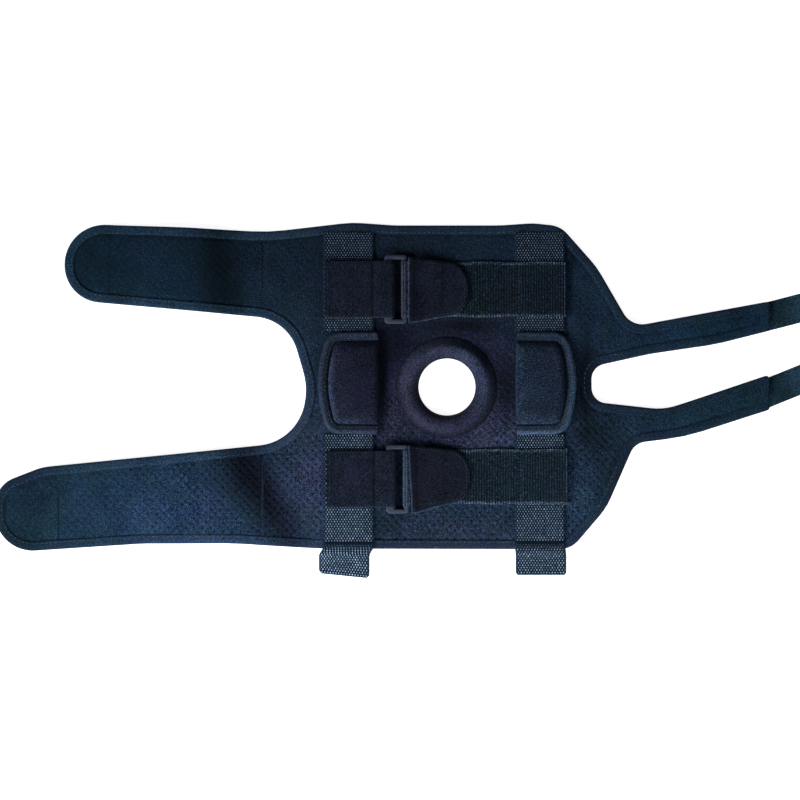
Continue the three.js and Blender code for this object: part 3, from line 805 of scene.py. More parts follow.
def pile_group():
    """Mottled knit or pile: fibres and bright flecks over slow brush marks that drift in hue."""
    tree, given, result = group_tree(
        "Pile Mottle",
        [
            ("Colour", "NodeSocketColor", (0.02, 0.04, 0.08, 1)),
            ("Stretch", "NodeSocketVector", (1, 1, 1)),
            ("Fibre", "NodeSocketFloat", 900.0),
            ("Contrast", "NodeSocketFloat", 0.6),
            ("Fleck", "NodeSocketFloat", 0.5),
            ("Brush", "NodeSocketFloat", 0.3),
            ("Hue", "NodeSocketFloat", 0.5),
        ],
        [("Colour", "NodeSocketColor"), ("Height", "NodeSocketFloat")],
    )

    def noise(where, scale, **values):
        inputs = {"Vector": where, "Scale": scale, **values}
        return add_node(tree, "ShaderNodeTexNoise", inputs).outputs

    def spread(value, share, gain):
        lift = math_node(tree, "SUBTRACT", value, 0.5)
        return math_node(tree, "MULTIPLY", math_node(tree, "MULTIPLY", lift, share), gain)

    where = add_node(tree, "ShaderNodeTexCoord").outputs["Object"]
    drawn = vector_node(tree, "MULTIPLY", where, given.outputs["Stretch"])
    fibre = given.outputs["Fibre"]
    fine = noise(drawn, fibre, Detail=2.0, Roughness=0.7)
    spots = noise(drawn, math_node(tree, "MULTIPLY", fibre, 0.83), Detail=0.0)
    slow = noise(where, 45.0, Detail=3.0)
    lift = spread(fine["Fac"], given.outputs["Contrast"], 6.0)
    drift = spread(slow["Fac"], given.outputs["Brush"], 2.5)
    gain = math_node(tree, "ADD", math_node(tree, "ADD", lift, drift), 1.0)
    gain = math_node(tree, "MAXIMUM", gain, 0.1)
    ranges = {"Value": spots["Fac"], "From Min": 0.58, "From Max": 0.76}
    bright = add_node(tree, "ShaderNodeMapRange", ranges, interpolation_type="SMOOTHSTEP").outputs[0]
    gain = math_node(tree, "ADD", gain, math_node(tree, "MULTIPLY", bright, given.outputs["Fleck"]))
    hue = vector_node(tree, "SUBTRACT", slow["Color"], (0.5, 0.5, 0.5))
    hue = vector_node(tree, "ADD", vector_node(tree, "SCALE", hue, given.outputs["Hue"]), (1, 1, 1))
    tint = vector_node(tree, "MULTIPLY", given.outputs["Colour"], hue)
    tree.links.new(vector_node(tree, "SCALE", tint, gain), result.inputs["Colour"])
    tree.links.new(fine["Fac"], result.inputs["Height"])
    return tree


def rib_group():
    """Ribs along and across a band, from its own cloth coordinates."""
    tree, given, result = group_tree(
        "Tape Ribs",
        [
            ("Along", "NodeSocketFloat", 1200.0),
            ("Across", "NodeSocketFloat", 900.0),
            ("Across Share", "NodeSocketFloat", 0.4),
        ],
        [("Height", "NodeSocketFloat")],
    )
    uv = add_node(tree, "ShaderNodeUVMap", uv_map="cloth").outputs[0]
    parts = add_node(tree, "ShaderNodeSeparateXYZ", {0: uv})
    waves = []
    for axis, rate in (("X", "Along"), ("Y", "Across")):
        angle = math_node(tree, "MULTIPLY", parts.outputs[axis], given.outputs[rate])
        angle = math_node(tree, "MULTIPLY", angle, 2 * math.pi)
        waves.append(math_node(tree, "MULTIPLY_ADD", math_node(tree, "SINE", angle), 0.5, 0.5))
    crossed = math_node(tree, "MULTIPLY", waves[1], given.outputs["Across Share"])
    tree.links.new(math_node(tree, "ADD", waves[0], crossed), result.inputs["Height"])
    return tree


def new_material(name):
    material = bpy.data.materials.new(name)
    material.use_nodes = True
    return material, material.node_tree, material.node_tree.nodes["Principled BSDF"]


def dress_shader(tree, shader, tint, height, bump, values):
    """Joins tint and relief to the shader, and sets the sockets that are the same all over."""
    tree.links.new(tint, shader.inputs["Base Color"])
    strength, distance = bump
    relief = add_node(
        tree, "ShaderNodeBump", {"Strength": strength, "Distance": distance, "Height": height}
    )
    tree.links.new(relief.outputs[0], shader.inputs["Normal"])
    for label, value in values.items():
        shader.inputs[label].default_value = value


CLOTH_BUMP = (0.5, 0.5 * MM)
CLOTH_SHEEN = {
    "Sheen Weight": 0.04,
    "Sheen Roughness": 0.5,
    "Sheen Tint": (0.45, 0.6, 0.85, 1),
}


def cloth_material(
    name,
    colour,
    groups,
    ribs=None,
    rib_tint=0.5,
    rib_base=0.7,
    tone_and_light=True,
    roughness=0.9,
    specular=0.1,
    **mottle,
):
    """One woven or knitted finish. Ribs, where it has them, also tint the colour."""
    material, tree, shader = new_material(name)
    values = {"Colour": (*colour, 1), **{label.title(): value for label, value in mottle.items()}}
    pile = add_node(tree, "ShaderNodeGroup", values, node_tree=groups["pile"])
    tint, height = pile.outputs["Colour"], pile.outputs["Height"]
    if ribs:
        values = dict(zip(("Along", "Across", "Across Share"), ribs))
        rib = add_node(tree, "ShaderNodeGroup", values, node_tree=groups["ribs"]).outputs["Height"]
        tint = vector_node(tree, "SCALE", tint, math_node(tree, "MULTIPLY_ADD", rib, rib_tint, rib_base))
        height = math_node(tree, "MULTIPLY_ADD", height, 0.5, rib)
    # The point attribute tints the colour and carries painted light and shade; its alpha scales the
    # fibres' contrast and flecks.
    if tone_and_light:
        share = add_node(tree, "ShaderNodeAttribute", attribute_name="tone_and_light").outputs
        for label in ("Contrast", "Fleck"):
            level = pile.inputs[label].default_value
            tree.links.new(math_node(tree, "MULTIPLY", share["Alpha"], level), pile.inputs[label])
        tint = vector_node(tree, "MULTIPLY", tint, share["Color"])
    finish = {"Roughness": roughness, "Specular IOR Level": specular, **CLOTH_SHEEN}
    dress_shader(tree, shader, tint, height, CLOTH_BUMP, finish)
    return material


def plastic_material(name, colour, groups):
    """Moulded plastic with a faint grain."""
    material, tree, shader = new_material(name)
    values = {"Colour": (*colour, 1), "Fibre": 1500.0, "Contrast": 0.12, "Fleck": 0.0, "Brush": 0.15}
    grain = add_node(tree, "ShaderNodeGroup", values, node_tree=groups["pile"]).outputs
    finish = {"Roughness": 0.5, "Specular IOR Level": 0.25}
    dress_shader(tree, shader, grain["Colour"], grain["Height"], (0.06, 0.3 * MM), finish)
    return material


# Every cloth by its colour setting: the material's name and its finish.
CLOTHS = {
    "panel": ("panel_knit", dict(fibre=1050, contrast=1.1, fleck=1.4, brush=0.4)),
    "binding": (
        "binding_tape",
        dict(
            fibre=1050,
            contrast=0.8,
            fleck=0.8,
            hue=0.4,
            ribs=(760, 700, 0.3),
            rib_tint=0.3,
            rib_base=0.8,
        ),
    ),
    "webbing": ("webbing_ground", dict(contrast=0.6, hue=0.3, ribs=(950, 400, 0.5))),
    "float_yarn": (
        "webbing_floats",
        dict(fibre=330, contrast=0.5, hue=0.25, roughness=0.5, specular=0.4),
    ),
    "strap": (
        "loop_strap",
        dict(stretch=(1, 0.55, 1), fibre=1100, contrast=0.85, fleck=1.2, brush=0.5),
    ),
    "elastic": (
        "ribbed_elastic",
        dict(
            contrast=1.8,
            fleck=2.8,
            hue=0.5,
            ribs=(422, 555, 0.22),
            rib_tint=1.15,
            rib_base=0.2,
            roughness=0.75,
        ),
    ),
    "tab": ("hook_tab_pile", dict(stretch=(0.4, 1, 1), fibre=1100, contrast=0.9, brush=0.5)),
    "hook": ("hook_tape", dict(fibre=1100, contrast=0.9, ribs=(800, 800, 1.0))),
    "ring": ("ring_knit", dict(fibre=1050, contrast=1.1, fleck=0.9, brush=0.5)),
    "pad": ("pad_knit", dict(fibre=1000, contrast=1.25, fleck=1.4, brush=0.6)),
    "thread": ("tape_thread", dict(fibre=700, roughness=0.6, tone_and_light=False)),
    "dark_thread": ("strap_thread", dict(fibre=700, roughness=0.6, tone_and_light=False)),
    "patch_thread": ("patch_thread", dict(fibre=700, roughness=0.7, tone_and_light=False)),
}
MATERIALS = {}


def build_materials():
    colours = bpy.context.scene.brace_colours
    groups = {"pile": pile_group(), "ribs": rib_group()}
    for label, (name, finish) in CLOTHS.items():
        MATERIALS[label] = cloth_material(name, getattr(colours, label), groups, **finish)
    MATERIALS["buckle"] = plastic_material("moulded_buckle", colours.buckle, groups)


# Panels.


def panel_polygon(which):
    """Plan of one panel: the outline, a little in from its edge, cut at the seam."""
    run = outline_run(PANEL["edge"], 6.0)
    gap = PANEL["gap"] / 2
    if which == "body_panel":
        return clipped(run, 0, SEAM_X + gap, True)
    upper = which == "upper_wing"
    return clipped(clipped(run, 1, LEG_GAP if upper else -LEG_GAP, upper), 0, SEAM_X - gap, False)


def covered(places):
    """Places that straps, webbing, pads or the ring hide, which need no pores."""
    x, y = places.T
    lap = 3
    hidden = np.hypot(x, y) < RING["outer"] - lap
    for side in ("left", "right"):
        hidden |= np.abs(x - WEBBING[side]) < WEBBING["width"] / 2 - lap
    middle, half = (PAD["inner"] + PAD["outer"]) / 2, (PAD["outer"] - PAD["inner"]) / 2
    hidden |= (np.abs(np.abs(x) - middle) < half - lap) & (y > PAD["low"] + 2) & (y < PAD["top"] - 2)
    between_bands = (x > -66) & (x < 60)
    beside_buckle = (x < BUCKLE["left"]) | (x > BUCKLE["right"] - 4)
    for row in STRAPS.values():
        under_strap = np.abs(y - row["y"]) < STRAP["elastic"] / 2 - lap
        hidden |= under_strap & between_bands & beside_buckle
    return hidden


def pore_field(polygon, outline, sizes):
    """Staggered rows of pores over the part of a panel that shows, and the places between them."""
    low, high = polygon.min(axis=0), polygon.max(axis=0)
    step, row = (sizes.pore_pitch * share for share in PORE_LATTICE)
    ys = np.arange(low[1], high[1], row)
    xs = np.arange(low[0] - step, high[0], step)
    x, y = np.meshgrid(xs, ys)
    x = x + (np.arange(len(ys)) % 2)[:, None] * step / 2
    lattice = np.stack([x.ravel(), y.ravel()], 1)
    pores = lattice + np.random.default_rng(sizes.seed).normal(0, PORE_STRAY, lattice.shape)
    shares = ((0.5, 0), (0.25, 0.5), (0.75, 0.5))
    between = np.concatenate([lattice + (step * a, row * b) for a, b in shares])

    def shown(places):
        places = places[inside(polygon, places) & ~covered(places)]
        places = places[distance_to(polygon, places) > 1.5 * sizes.pore_radius]
        x, top, low = PATCH_SEAM
        sewn = (np.abs(places[:, 0] - x) < 2.8) & (places[:, 1] < top + 2) & (places[:, 1] > low - 2)
        return places[(distance_to(outline, places) > BINDING["lip"] + 1.2) & ~sewn]

    return shown(pores), shown(between)


def openness(places):
    """How open the knit is: pores show most towards the hem, and least at the wing tips and arms."""
    along = np.interp(places[:, :1], (-340, -220, 120, 170), (0.25, 1, 1, 0.25))
    return np.interp(places[:, 1:], (-60, 40), (1, 0)) * along


def fibre_contrast(places):
    """Share of the fibres' contrast: most at the kneecap, least at the wing tips and along the top."""
    x, y = places.T
    along = np.interp(x, (-340, -200), (0.72, 1))
    return np.interp(y, (-140, -60, 60), (1, 0.95, 0.72)) * along * (1 + 0.7 * near(x, 70) * near(y, 60))


def panel_sheet(which, sizes):
    """One padded panel: a porous face, a plain underside and an edge thinned for the tape."""
    polygon = panel_polygon(which)
    outline = outline_run(0.0, 4.0)
    pores, between = pore_field(polygon, outline, sizes)
    pits = [pores]
    for sides, share in PORE_RINGS:
        spokes = circle(share * sizes.pore_radius, sides)
        pits.append((pores[:, None, :] + spokes[None]).reshape(-1, 2))
    pits = np.concatenate(pits)
    groove = np.zeros((0, 2))
    if which == "lower_wing":
        groove = upright(*PATCH_SEAM, step=1.6)
        groove = np.concatenate([groove, groove + (1.3, 0), groove - (1.3, 0)])
    spans = zip(polygon.min(axis=0), polygon.max(axis=0))
    x, y = np.meshgrid(*(np.arange(low, high, 7.0) for low, high in spans))
    filler = np.stack([x.ravel(), y.ravel()], 1)
    filler = filler[inside(polygon, filler) & (distance_to(polygon, filler) > 1.5)]
    bare = filler[covered(filler) | (distance_to(outline, filler) < BINDING["lip"])]
    rings = [polygon]
    if which == "body_panel":
        reach = RING["sleeve"] + PANEL["gap"]
        rings.append(circle(reach, RING["sides"] // 2))
        bare, filler = (places[np.hypot(*places.T) > reach + 2] for places in (bare, filler))
    face, face_tris = triangulated(rings, np.concatenate([pits, between, groove, bare]))
    under, under_tris = triangulated(rings, filler)
    edge = sum(len(ring) for ring in rings)

    top = sheet_height(face, outline, 1)
    # Tint with painted light and shade, from the patches.
    tone_and_light = light_and_tint(face)
    starts = edge + np.cumsum([0, len(pits), len(between), len(groove)])
    deep = slice(edge, edge + len(pores) * (1 + PORE_RINGS[0][0]))
    rims = slice(deep.stop, starts[1])
    chance = np.random.default_rng(sizes.seed)
    share = openness(pores) * chance.uniform(0.35, 1, (len(pores), 1))
    inner, outer = (np.repeat(share, sides, axis=0) for sides, _ in PORE_RINGS)
    core = np.concatenate([share, inner])
    top[deep] -= sizes.pore_depth * (0.2 + 0.8 * core[:, 0])
    # Painted shade in the pits, darkest at their cores and a little on their rims; a random speckle of
    # tone between them.
    tone_and_light[deep] *= 0.9 - 0.74 * core
    tone_and_light[rims] *= 0.99 - 0.1 * outer
    speckle = chance.uniform(-0.4, 0.6, (len(between), 1))
    speckle = speckle + chance.uniform(-0.15, 0.15, (len(between), 3))
    tone_and_light[starts[1] : starts[2]] *= 1 + (0.1 + 0.35 * openness(between)) * speckle
    sunk = slice(starts[2], starts[2] + len(groove) // 3)
    top[sunk] -= 0.5
    # Painted shade in the sunk seam line.
    tone_and_light[sunk] *= 0.3
    low = sheet_height(under, outline, -1)
    under[np.abs(under[:, 0] - SEAM_X) < PANEL["gap"]] -= np.array([PANEL["seam_slant"], 0])
    points = np.concatenate([np.column_stack([face, top]), np.column_stack([under, low])])
    shift = len(face)
    faces = list(face_tris) + [tuple(shift + k for k in tri[::-1]) for tri in under_tris]
    faces += [(a, b, shift + b, shift + a) for a, b in ring_edges(rings)]
    tone_and_light = np.column_stack([tone_and_light, fibre_contrast(face)])
    tone_and_light = np.concatenate([tone_and_light, np.full((len(under), 4), 0.8)])
    piece = make_piece(which, points, faces, MATERIALS["panel"], tone_and_light=tone_and_light)
    finish_piece(piece, which)


def ring_edges(rings):
    """Pairs of neighbouring points round each of several closed rings, numbered through."""
    edges, start = [], 0
    for ring in rings:
        edges += [(start + k, start + (k + 1) % len(ring)) for k in range(len(ring))]
        start += len(ring)
    return edges


def triangulated(rings, filler):
    """Triangles over a plan with holes. The ring points stay first and in order."""
    places = np.concatenate([*rings, filler])
    corners = [Vector(place) for place in places]
    points, _, tris, origin, _, _ = delaunay_2d_cdt(corners, ring_edges(rings), [], 1, 1e-5)
    back = np.array([ids[0] if ids else -1 for ids in origin])
    if len(points) != len(places) or (back < 0).any():
        raise RuntimeError("the plan's points do not stay apart")
    tris = back[np.array(tris)]
    middles = places[tris].mean(axis=1)
    keep = np.ones(len(tris), bool)
    for hole in rings[1:]:
        keep &= ~inside(hole, middles)
    return places, [tuple(tri) for tri in tris[keep]]


def sheet_height(places, outline, side):
    """Height of a panel's face or underside, rolled down towards its bound edge."""
    depth = distance_to(outline, places)
    full = ease((depth - BINDING["lip"] + 0.4) / PANEL["roll"])
    x, y = places.T
    if side > 0:
        level = PANEL["flange_high"] + (PANEL["thick"] + 0.1 - PANEL["flange_high"]) * full
        return lie(x, y) + level * pressed(x) + ripple(x, y) * full * 0.7
    return lie(x, y) + PANEL["flange_low"] * pressed(x) * (1 - full)


def light_and_tint(places):
    """Share of each colour at every place, from the patches of painted light and shade and of tint."""
    tone = np.ones((len(places), 3))
    for _, x, y, wide, tall, turn, share in LIGHT_AND_TINT_PATCHES:
        c, s = math.cos(math.radians(turn)), math.sin(math.radians(turn))
        along, over = ((places - np.array([x, y])) @ np.array([[c, -s], [s, c]])).T
        tone *= 1 + (near(along, wide) * near(over, tall))[:, None] * (np.array(share) - 1)
    return tone


class BRACE_OT_panels(bpy.types.Operator):
    """Make the body panel and both wings"""

    bl_idname = "brace.panels"
    bl_label = "Panels"

    def execute(self, context):
        for which in ("body_panel", "upper_wing", "lower_wing"):
            panel_sheet(which, context.scene.brace_sizes)
        return {"FINISHED"}


# Edge tape.


def tape_section():
    """Section of the folded edge tape as depth and height: rounded outside, thin walls inside."""
    lip, low, high, wall = (BINDING[size] for size in ("lip", "low", "high", "wall"))
    middle, half = (low + high) / 2, (high - low) / 2
    turns = np.linspace(math.pi / 2, -math.pi / 2, 9)
    nose = [(half * 0.9 - half * 0.9 * math.cos(t), middle + half * math.sin(t)) for t in turns]
    top = [(lip, high - 0.25), (lip - 0.5, high), (lip - 1.6, high - 0.12)]
    top.append((lip * 0.55, high + BINDING["puff"]))
    bottom = [(lip * 0.55, low), (lip - 0.5, low), (lip, low + 0.3)]
    inner = [(lip, low + wall), (wall + 0.4, low + wall), (wall, middle)]
    inner += [(wall + 0.4, high - wall), (lip, high - wall)]
    return top + nose + bottom + inner


def binding_light(x, y):
    """Share of light on the binding: by height, by the arms and along each of the two long edges."""
    places, lower, upper = BINDING_LIGHT
    low = np.interp(y, (-90, 30), (1.0, 0.0))
    along = low * np.interp(x, places, lower) + (1 - low) * np.interp(x, places, upper)
    by_height = np.interp(y, (-140, 60, 140), (0.68, 1.0, 1.2))
    return along * by_height * np.interp(x, (150, 200), (1.0, 0.86))


class BRACE_OT_binding(bpy.types.Operator):
    """Fold the tape round the whole edge"""

    bl_idname = "brace.binding"
    bl_label = "Edge binding"

    def execute(self, context):
        section = tape_section()
        runs = [outline_run(depth, BINDING["step"]) for depth, _ in section]
        travel = travelled(runs[0])
        rings, uv, tone_and_light = [], [], []
        for (depth, z), run in zip(section, runs):
            rings.append(np.column_stack([run, z * pressed(run[:, 0]) + lie(*run.T)]))
            uv.append(at_height(travel, depth))
            # Tint with painted light and shade from the patches, times the painted light along the tape.
            tone_and_light.append(light_and_tint(run) ** 0.7 * binding_light(*run.T)[:, None])
        rings, uv, tone_and_light = (np.stack(part, 1) for part in (rings, uv, tone_and_light))
        piece = tube("edge_binding", rings, MATERIALS["binding"], uv, tone_and_light, closed=True)
        finish_piece(piece, "edge_binding")
        return {"FINISHED"}


# Kneecap ring.


class BRACE_OT_ring(bpy.types.Operator):
    """Make the padded ring round the kneecap hole"""

    bl_idname = "brace.ring"
    bl_label = "Kneecap ring"

    def execute(self, context):
        hole, sleeve, outer, crown = (RING[size] for size in ("hole", "sleeve", "outer", "crown"))
        middle, half = (hole + outer) / 2, (outer - hole) / 2
        outer_foot, inner_foot = RING["rim"] - 0.2, 3.2
        profile = [(sleeve, ON_PANEL), (outer - 0.6, ON_PANEL), (outer, ON_PANEL + 0.35)]
        for t in np.linspace(0.05, 1, 10):
            profile.append((outer - half * t, outer_foot + (crown - outer_foot) * ease(t) ** 0.85))
        for t in np.linspace(0.12, 0.97, 9):
            rise = math.sqrt(1 - t**2.2)
            profile.append((middle - half * 0.99 * t, inner_foot + (crown - inner_foot) * rise))
        profile += [(hole, 2.4), (hole + 0.1, 0.6), (hole + 0.8, 0.3), (sleeve, 0.4)]
        radius, level = np.array(profile).T
        turns = np.linspace(0, 2 * math.pi, RING["sides"], endpoint=False)[:, None]
        gather = 0.12 * np.sin(turns * 31 + 0.7 * np.sin(turns * 5)) + 0.06 * np.sin(turns * 53 + 2)
        rim = np.clip(np.abs(radius - middle) / half, 0, 1) ** 3 * (level > ON_PANEL)
        z = level + gather * rim + 0.25 * np.sin(turns * 3 + 0.6) * (level > 7)
        points = np.stack([radius * np.cos(turns), radius * np.sin(turns), z], 2)
        # The ring's colour: darker towards its inner and outer edges, painted light where its slopes
        # face the low light from the left and towards the top, and a slight change of hue from left to
        # right.
        outward_share = (radius - middle) / half
        share = 0.3 + 0.95 * (1 - np.clip(np.abs(outward_share), 0, 1) ** 2.2)
        facing = np.cos(turns - math.radians(200)) * np.clip(outward_share, -1, 1)
        lit = (1.0 + 0.3 * np.cos(turns - math.radians(80))) * (1 + 0.45 * facing)
        drift = 1 + 0.12 * np.cos(turns)[..., None] * np.array([-0.3, 0.6, 0.6])
        tone_and_light = (lit * share)[..., None] * drift
        piece = tube("patella_ring", points, MATERIALS["ring"], tone_and_light=tone_and_light, closed=True)
        finish_piece(piece, "patella_ring")
        return {"FINISHED"}


# Geometry Nodes for what repeats.


def geometry_tree(name, source, inputs):
    """A tree with a geometry to follow, named sizes and one result."""
    tree = bpy.data.node_groups.new(name, "GeometryNodeTree")
    tree.is_modifier = True
    for label, kind in ((source, "NodeSocketGeometry"), *inputs):
        tree.interface.new_socket(label, in_out="INPUT", socket_type=kind)
    tree.interface.new_socket("Thread", in_out="OUTPUT", socket_type="NodeSocketGeometry")
    return tree, tree.nodes.new("NodeGroupInput").outputs, tree.nodes.new("NodeGroupOutput")


def set_thread(tree, result, material, bead, places):
    """Puts a smooth bead of thread on every place, as plain geometry in its material."""
    yarn = add_node(tree, "GeometryNodeMeshUVSphere", bead)
    smooth = add_node(tree, "GeometryNodeSetShadeSmooth", {"Geometry": yarn.outputs[0]})
    placed = add_node(tree, "GeometryNodeInstanceOnPoints", {"Instance": smooth.outputs[0], **places})
    real = add_node(tree, "GeometryNodeRealizeInstances", {0: placed.outputs[0]})
    inputs = {"Geometry": real.outputs[0], "Material": material}
    dressed = add_node(tree, "GeometryNodeSetMaterial", inputs)
    tree.links.new(dressed.outputs[0], result.inputs[0])


def woven_floats_tree(material):
    """A raised yarn on every second point of a grid, row about."""
    sizes = [(label, "NodeSocketFloat") for label in FLOAT]
    tree, given, result = geometry_tree("Woven Floats", "Grid", [("Columns", "NodeSocketInt"), *sizes])
    index = add_node(tree, "GeometryNodeInputIndex").outputs[0]
    row = math_node(tree, "FLOOR", math_node(tree, "DIVIDE", index, given["Columns"]))
    column = math_node(tree, "MODULO", index, given["Columns"])
    odd = math_node(tree, "MODULO", math_node(tree, "ADD", row, column), 2.0)
    inputs = {"Vector": add_node(tree, "GeometryNodeInputNormal").outputs[0]}
    turn = add_node(tree, "FunctionNodeAlignRotationToVector", inputs, axis="Z", pivot_axis="X")
    size = add_node(tree, "ShaderNodeCombineXYZ", {k: given[label] for k, label in enumerate(FLOAT)})
    places = {
        "Points": given["Grid"],
        "Selection": math_node(tree, "LESS_THAN", odd, 0.5),
        "Rotation": turn.outputs[0],
        "Scale": size.outputs[0],
    }
    set_thread(tree, result, material, {"Segments": 8, "Rings": 4, "Radius": 0.5}, places)
    return tree


def stitch_tree(name, material):
    """Thread along a path, straight or in a zigzag."""
    sizes = [(label, "NodeSocketFloat") for label in ("Pitch", "Length", "Radius", "Zigzag")]
    tree, given, result = geometry_tree(name, "Path", sizes)
    curve = add_node(tree, "GeometryNodeMeshToCurve", {"Mesh": given["Path"]})
    inputs = {"Curve": curve.outputs[0], "Length": given["Pitch"]}
    points = add_node(tree, "GeometryNodeCurveToPoints", inputs, mode="LENGTH").outputs
    inputs = {"Vector": points["Tangent"]}
    along = add_node(tree, "FunctionNodeAlignRotationToVector", inputs, axis="X", pivot_axis="Z")
    index = add_node(tree, "GeometryNodeInputIndex").outputs[0]
    sign = math_node(tree, "MULTIPLY_ADD", math_node(tree, "MODULO", index, 2.0), 2.0, -1.0)
    swing = math_node(tree, "MULTIPLY", sign, given["Zigzag"])
    tilt = add_node(tree, "FunctionNodeAxisAngleToRotation", {"Axis": (0, 0, 1), "Angle": swing})
    inputs = {0: along.outputs[0], 1: tilt.outputs[0]}
    turn = add_node(tree, "FunctionNodeRotateRotation", inputs, rotation_space="LOCAL")
    half = math_node(tree, "MULTIPLY", given["Length"], 0.5)
    size = add_node(tree, "ShaderNodeCombineXYZ", {0: half, 1: given["Radius"], 2: given["Radius"]})
    places = {"Points": points[0], "Rotation": turn.outputs[0], "Scale": size.outputs[0]}
    set_thread(tree, result, material, {"Segments": 6, "Rings": 5, "Radius": 1.0}, places)
    return tree


def baked(piece, tree, values):
    """Runs a tree on an object with the given inputs and keeps its result as a plain mesh."""
    modifier = piece.modifiers.new(tree.name, "NODES")
    modifier.node_group = tree
    names = {item.name: item.identifier for item in tree.interface.items_tree if item.in_out == "INPUT"}
    for label, value in values.items():
        modifier[names[label]] = value
    bpy.context.view_layer.update()
    evaluated = piece.evaluated_get(bpy.context.evaluated_depsgraph_get())
    mesh = bpy.data.meshes.new_from_object(evaluated)
    piece.modifiers.remove(modifier)
    old, piece.data = piece.data, mesh
    mesh.name = piece.name
    bpy.data.meshes.remove(old)
    return piece


# Webbing.


def float_grid(name, path, lift, middle, sizes, skew):
    """Grid points over the face of a webbing band, at half the floats' pitch across."""
    line = resampled(path, sizes.float_row)
    heading = headings(line)
    columns = int(2 * (WEBBING["width"] / 2 - 1.0) / (sizes.float_pitch / 2)) | 1
    across = np.linspace(-1, 1, columns) * (loop_half_width(line[:, 0])[:, None] - 1.2)
    y = line[:, :1]
    # The floats' tone: painted light along y, a random spread, painted shade where the band turns down
    # over the hem, darker low on the right band, and the two outer columns darker.
    tone = np.interp(y, *FLOAT_LIGHT) + 0 * across
    tone *= np.random.default_rng(sizes.seed).uniform(0.7, 1.3, tone.shape)
    tone *= 1 - 0.88 * near(y - LOOP["hem"] - 4.3, 3.4)
    if middle > 0:
        tone *= np.interp(y, (-60, 60), (0.78, 1.05))
    tone[:, [0, -1]] *= 0.25
    lift = np.where(np.abs(y - LOOP["hem"] - LOOP["sewn"]) < 1.2, lift - 0.6, lift)
    a = y - heading[:, 1:] * lift + 0 * across
    z = line[:, 1:] + heading[:, :1] * lift + 0 * across
    points = np.stack([across + middle, a, z], 2)
    if skew is not None:
        points = skew(points)
    starts = [i * columns + k for i in range(len(line) - 1) for k in range(columns - 1)]
    faces = [(k, k + 1, k + columns + 1, k + columns) for k in starts]
    mesh = bpy.data.meshes.new(name)
    mesh.from_pydata(to_frame(points.reshape(-1, 3)).tolist(), [], faces)
    store_tone_and_light(mesh, np.repeat(tone.reshape(-1, 1), 3, axis=1))
    if mesh.polygons[0].normal.z < 0:
        mesh.flip_normals()
    return linked(name, mesh), columns


def lower_webbing_path(end):
    """Side view of a lower band: along the panel, over the hem, down, and folded back under."""
    half = WEBBING["thick"] / 2
    on_panel = ON_PANEL + half + 0.1
    on_hem = BINDING["high"] + PANEL["gap"] + half + 0.1
    on_table, on_fold = half + 0.05, 3 * half + 0.45
    bend = (on_fold - on_table) / 2
    lip = LOOP["hem"] + BINDING["lip"]
    line = [
        (PAD["low"] - 0.6, on_panel),
        (lip + 10, on_panel),
        (lip + 4, on_hem - 0.1),
        (LOOP["hem"] + 2, on_hem),
        (LOOP["hem"] - 1.6, on_hem - 0.2),
        (LOOP["fall"] - 1.6, on_fold + 0.9),
        (LOOP["fall"] - 5, on_fold + 0.1),
        (end + 6, on_fold),
    ]
    for t in np.linspace(0, math.pi, 7):
        line.append((end + half + bend * (1 - math.sin(t)), on_table + bend * (1 + math.cos(t))))
    line.append((LOOP["fall"] + 0.6, on_table))
    return smoothed(line, 0.8, 2)


def loop_half_width(y):
    """Half width of a webbing band, drawn in at the corners of its loop."""
    end = min(low for low, _, _ in LOOP_ENDS.values())
    corner = np.clip((end + LOOP["corner"] + 0.4 - y) / LOOP["corner"], 0, 1)
    return WEBBING["width"] / 2 - LOOP["corner"] * (1 - np.sqrt(1 - corner**2))


def loop_skew(lean, slope, middle):
    """Leans the loop below the hem a little, as it was sewn."""

    def turned(points):
        below = LOOP["fall"] - points[..., 1]
        out = points.copy()
        out[..., 0] += lean * ease((below + LOOP["lean_over"]) / LOOP["lean_over"] / 1.4)
        out[..., 1] -= np.clip((below + 2) / LOOP["reach"], 0, 1) * slope * (points[..., 0] - middle)
        return out

    return turned


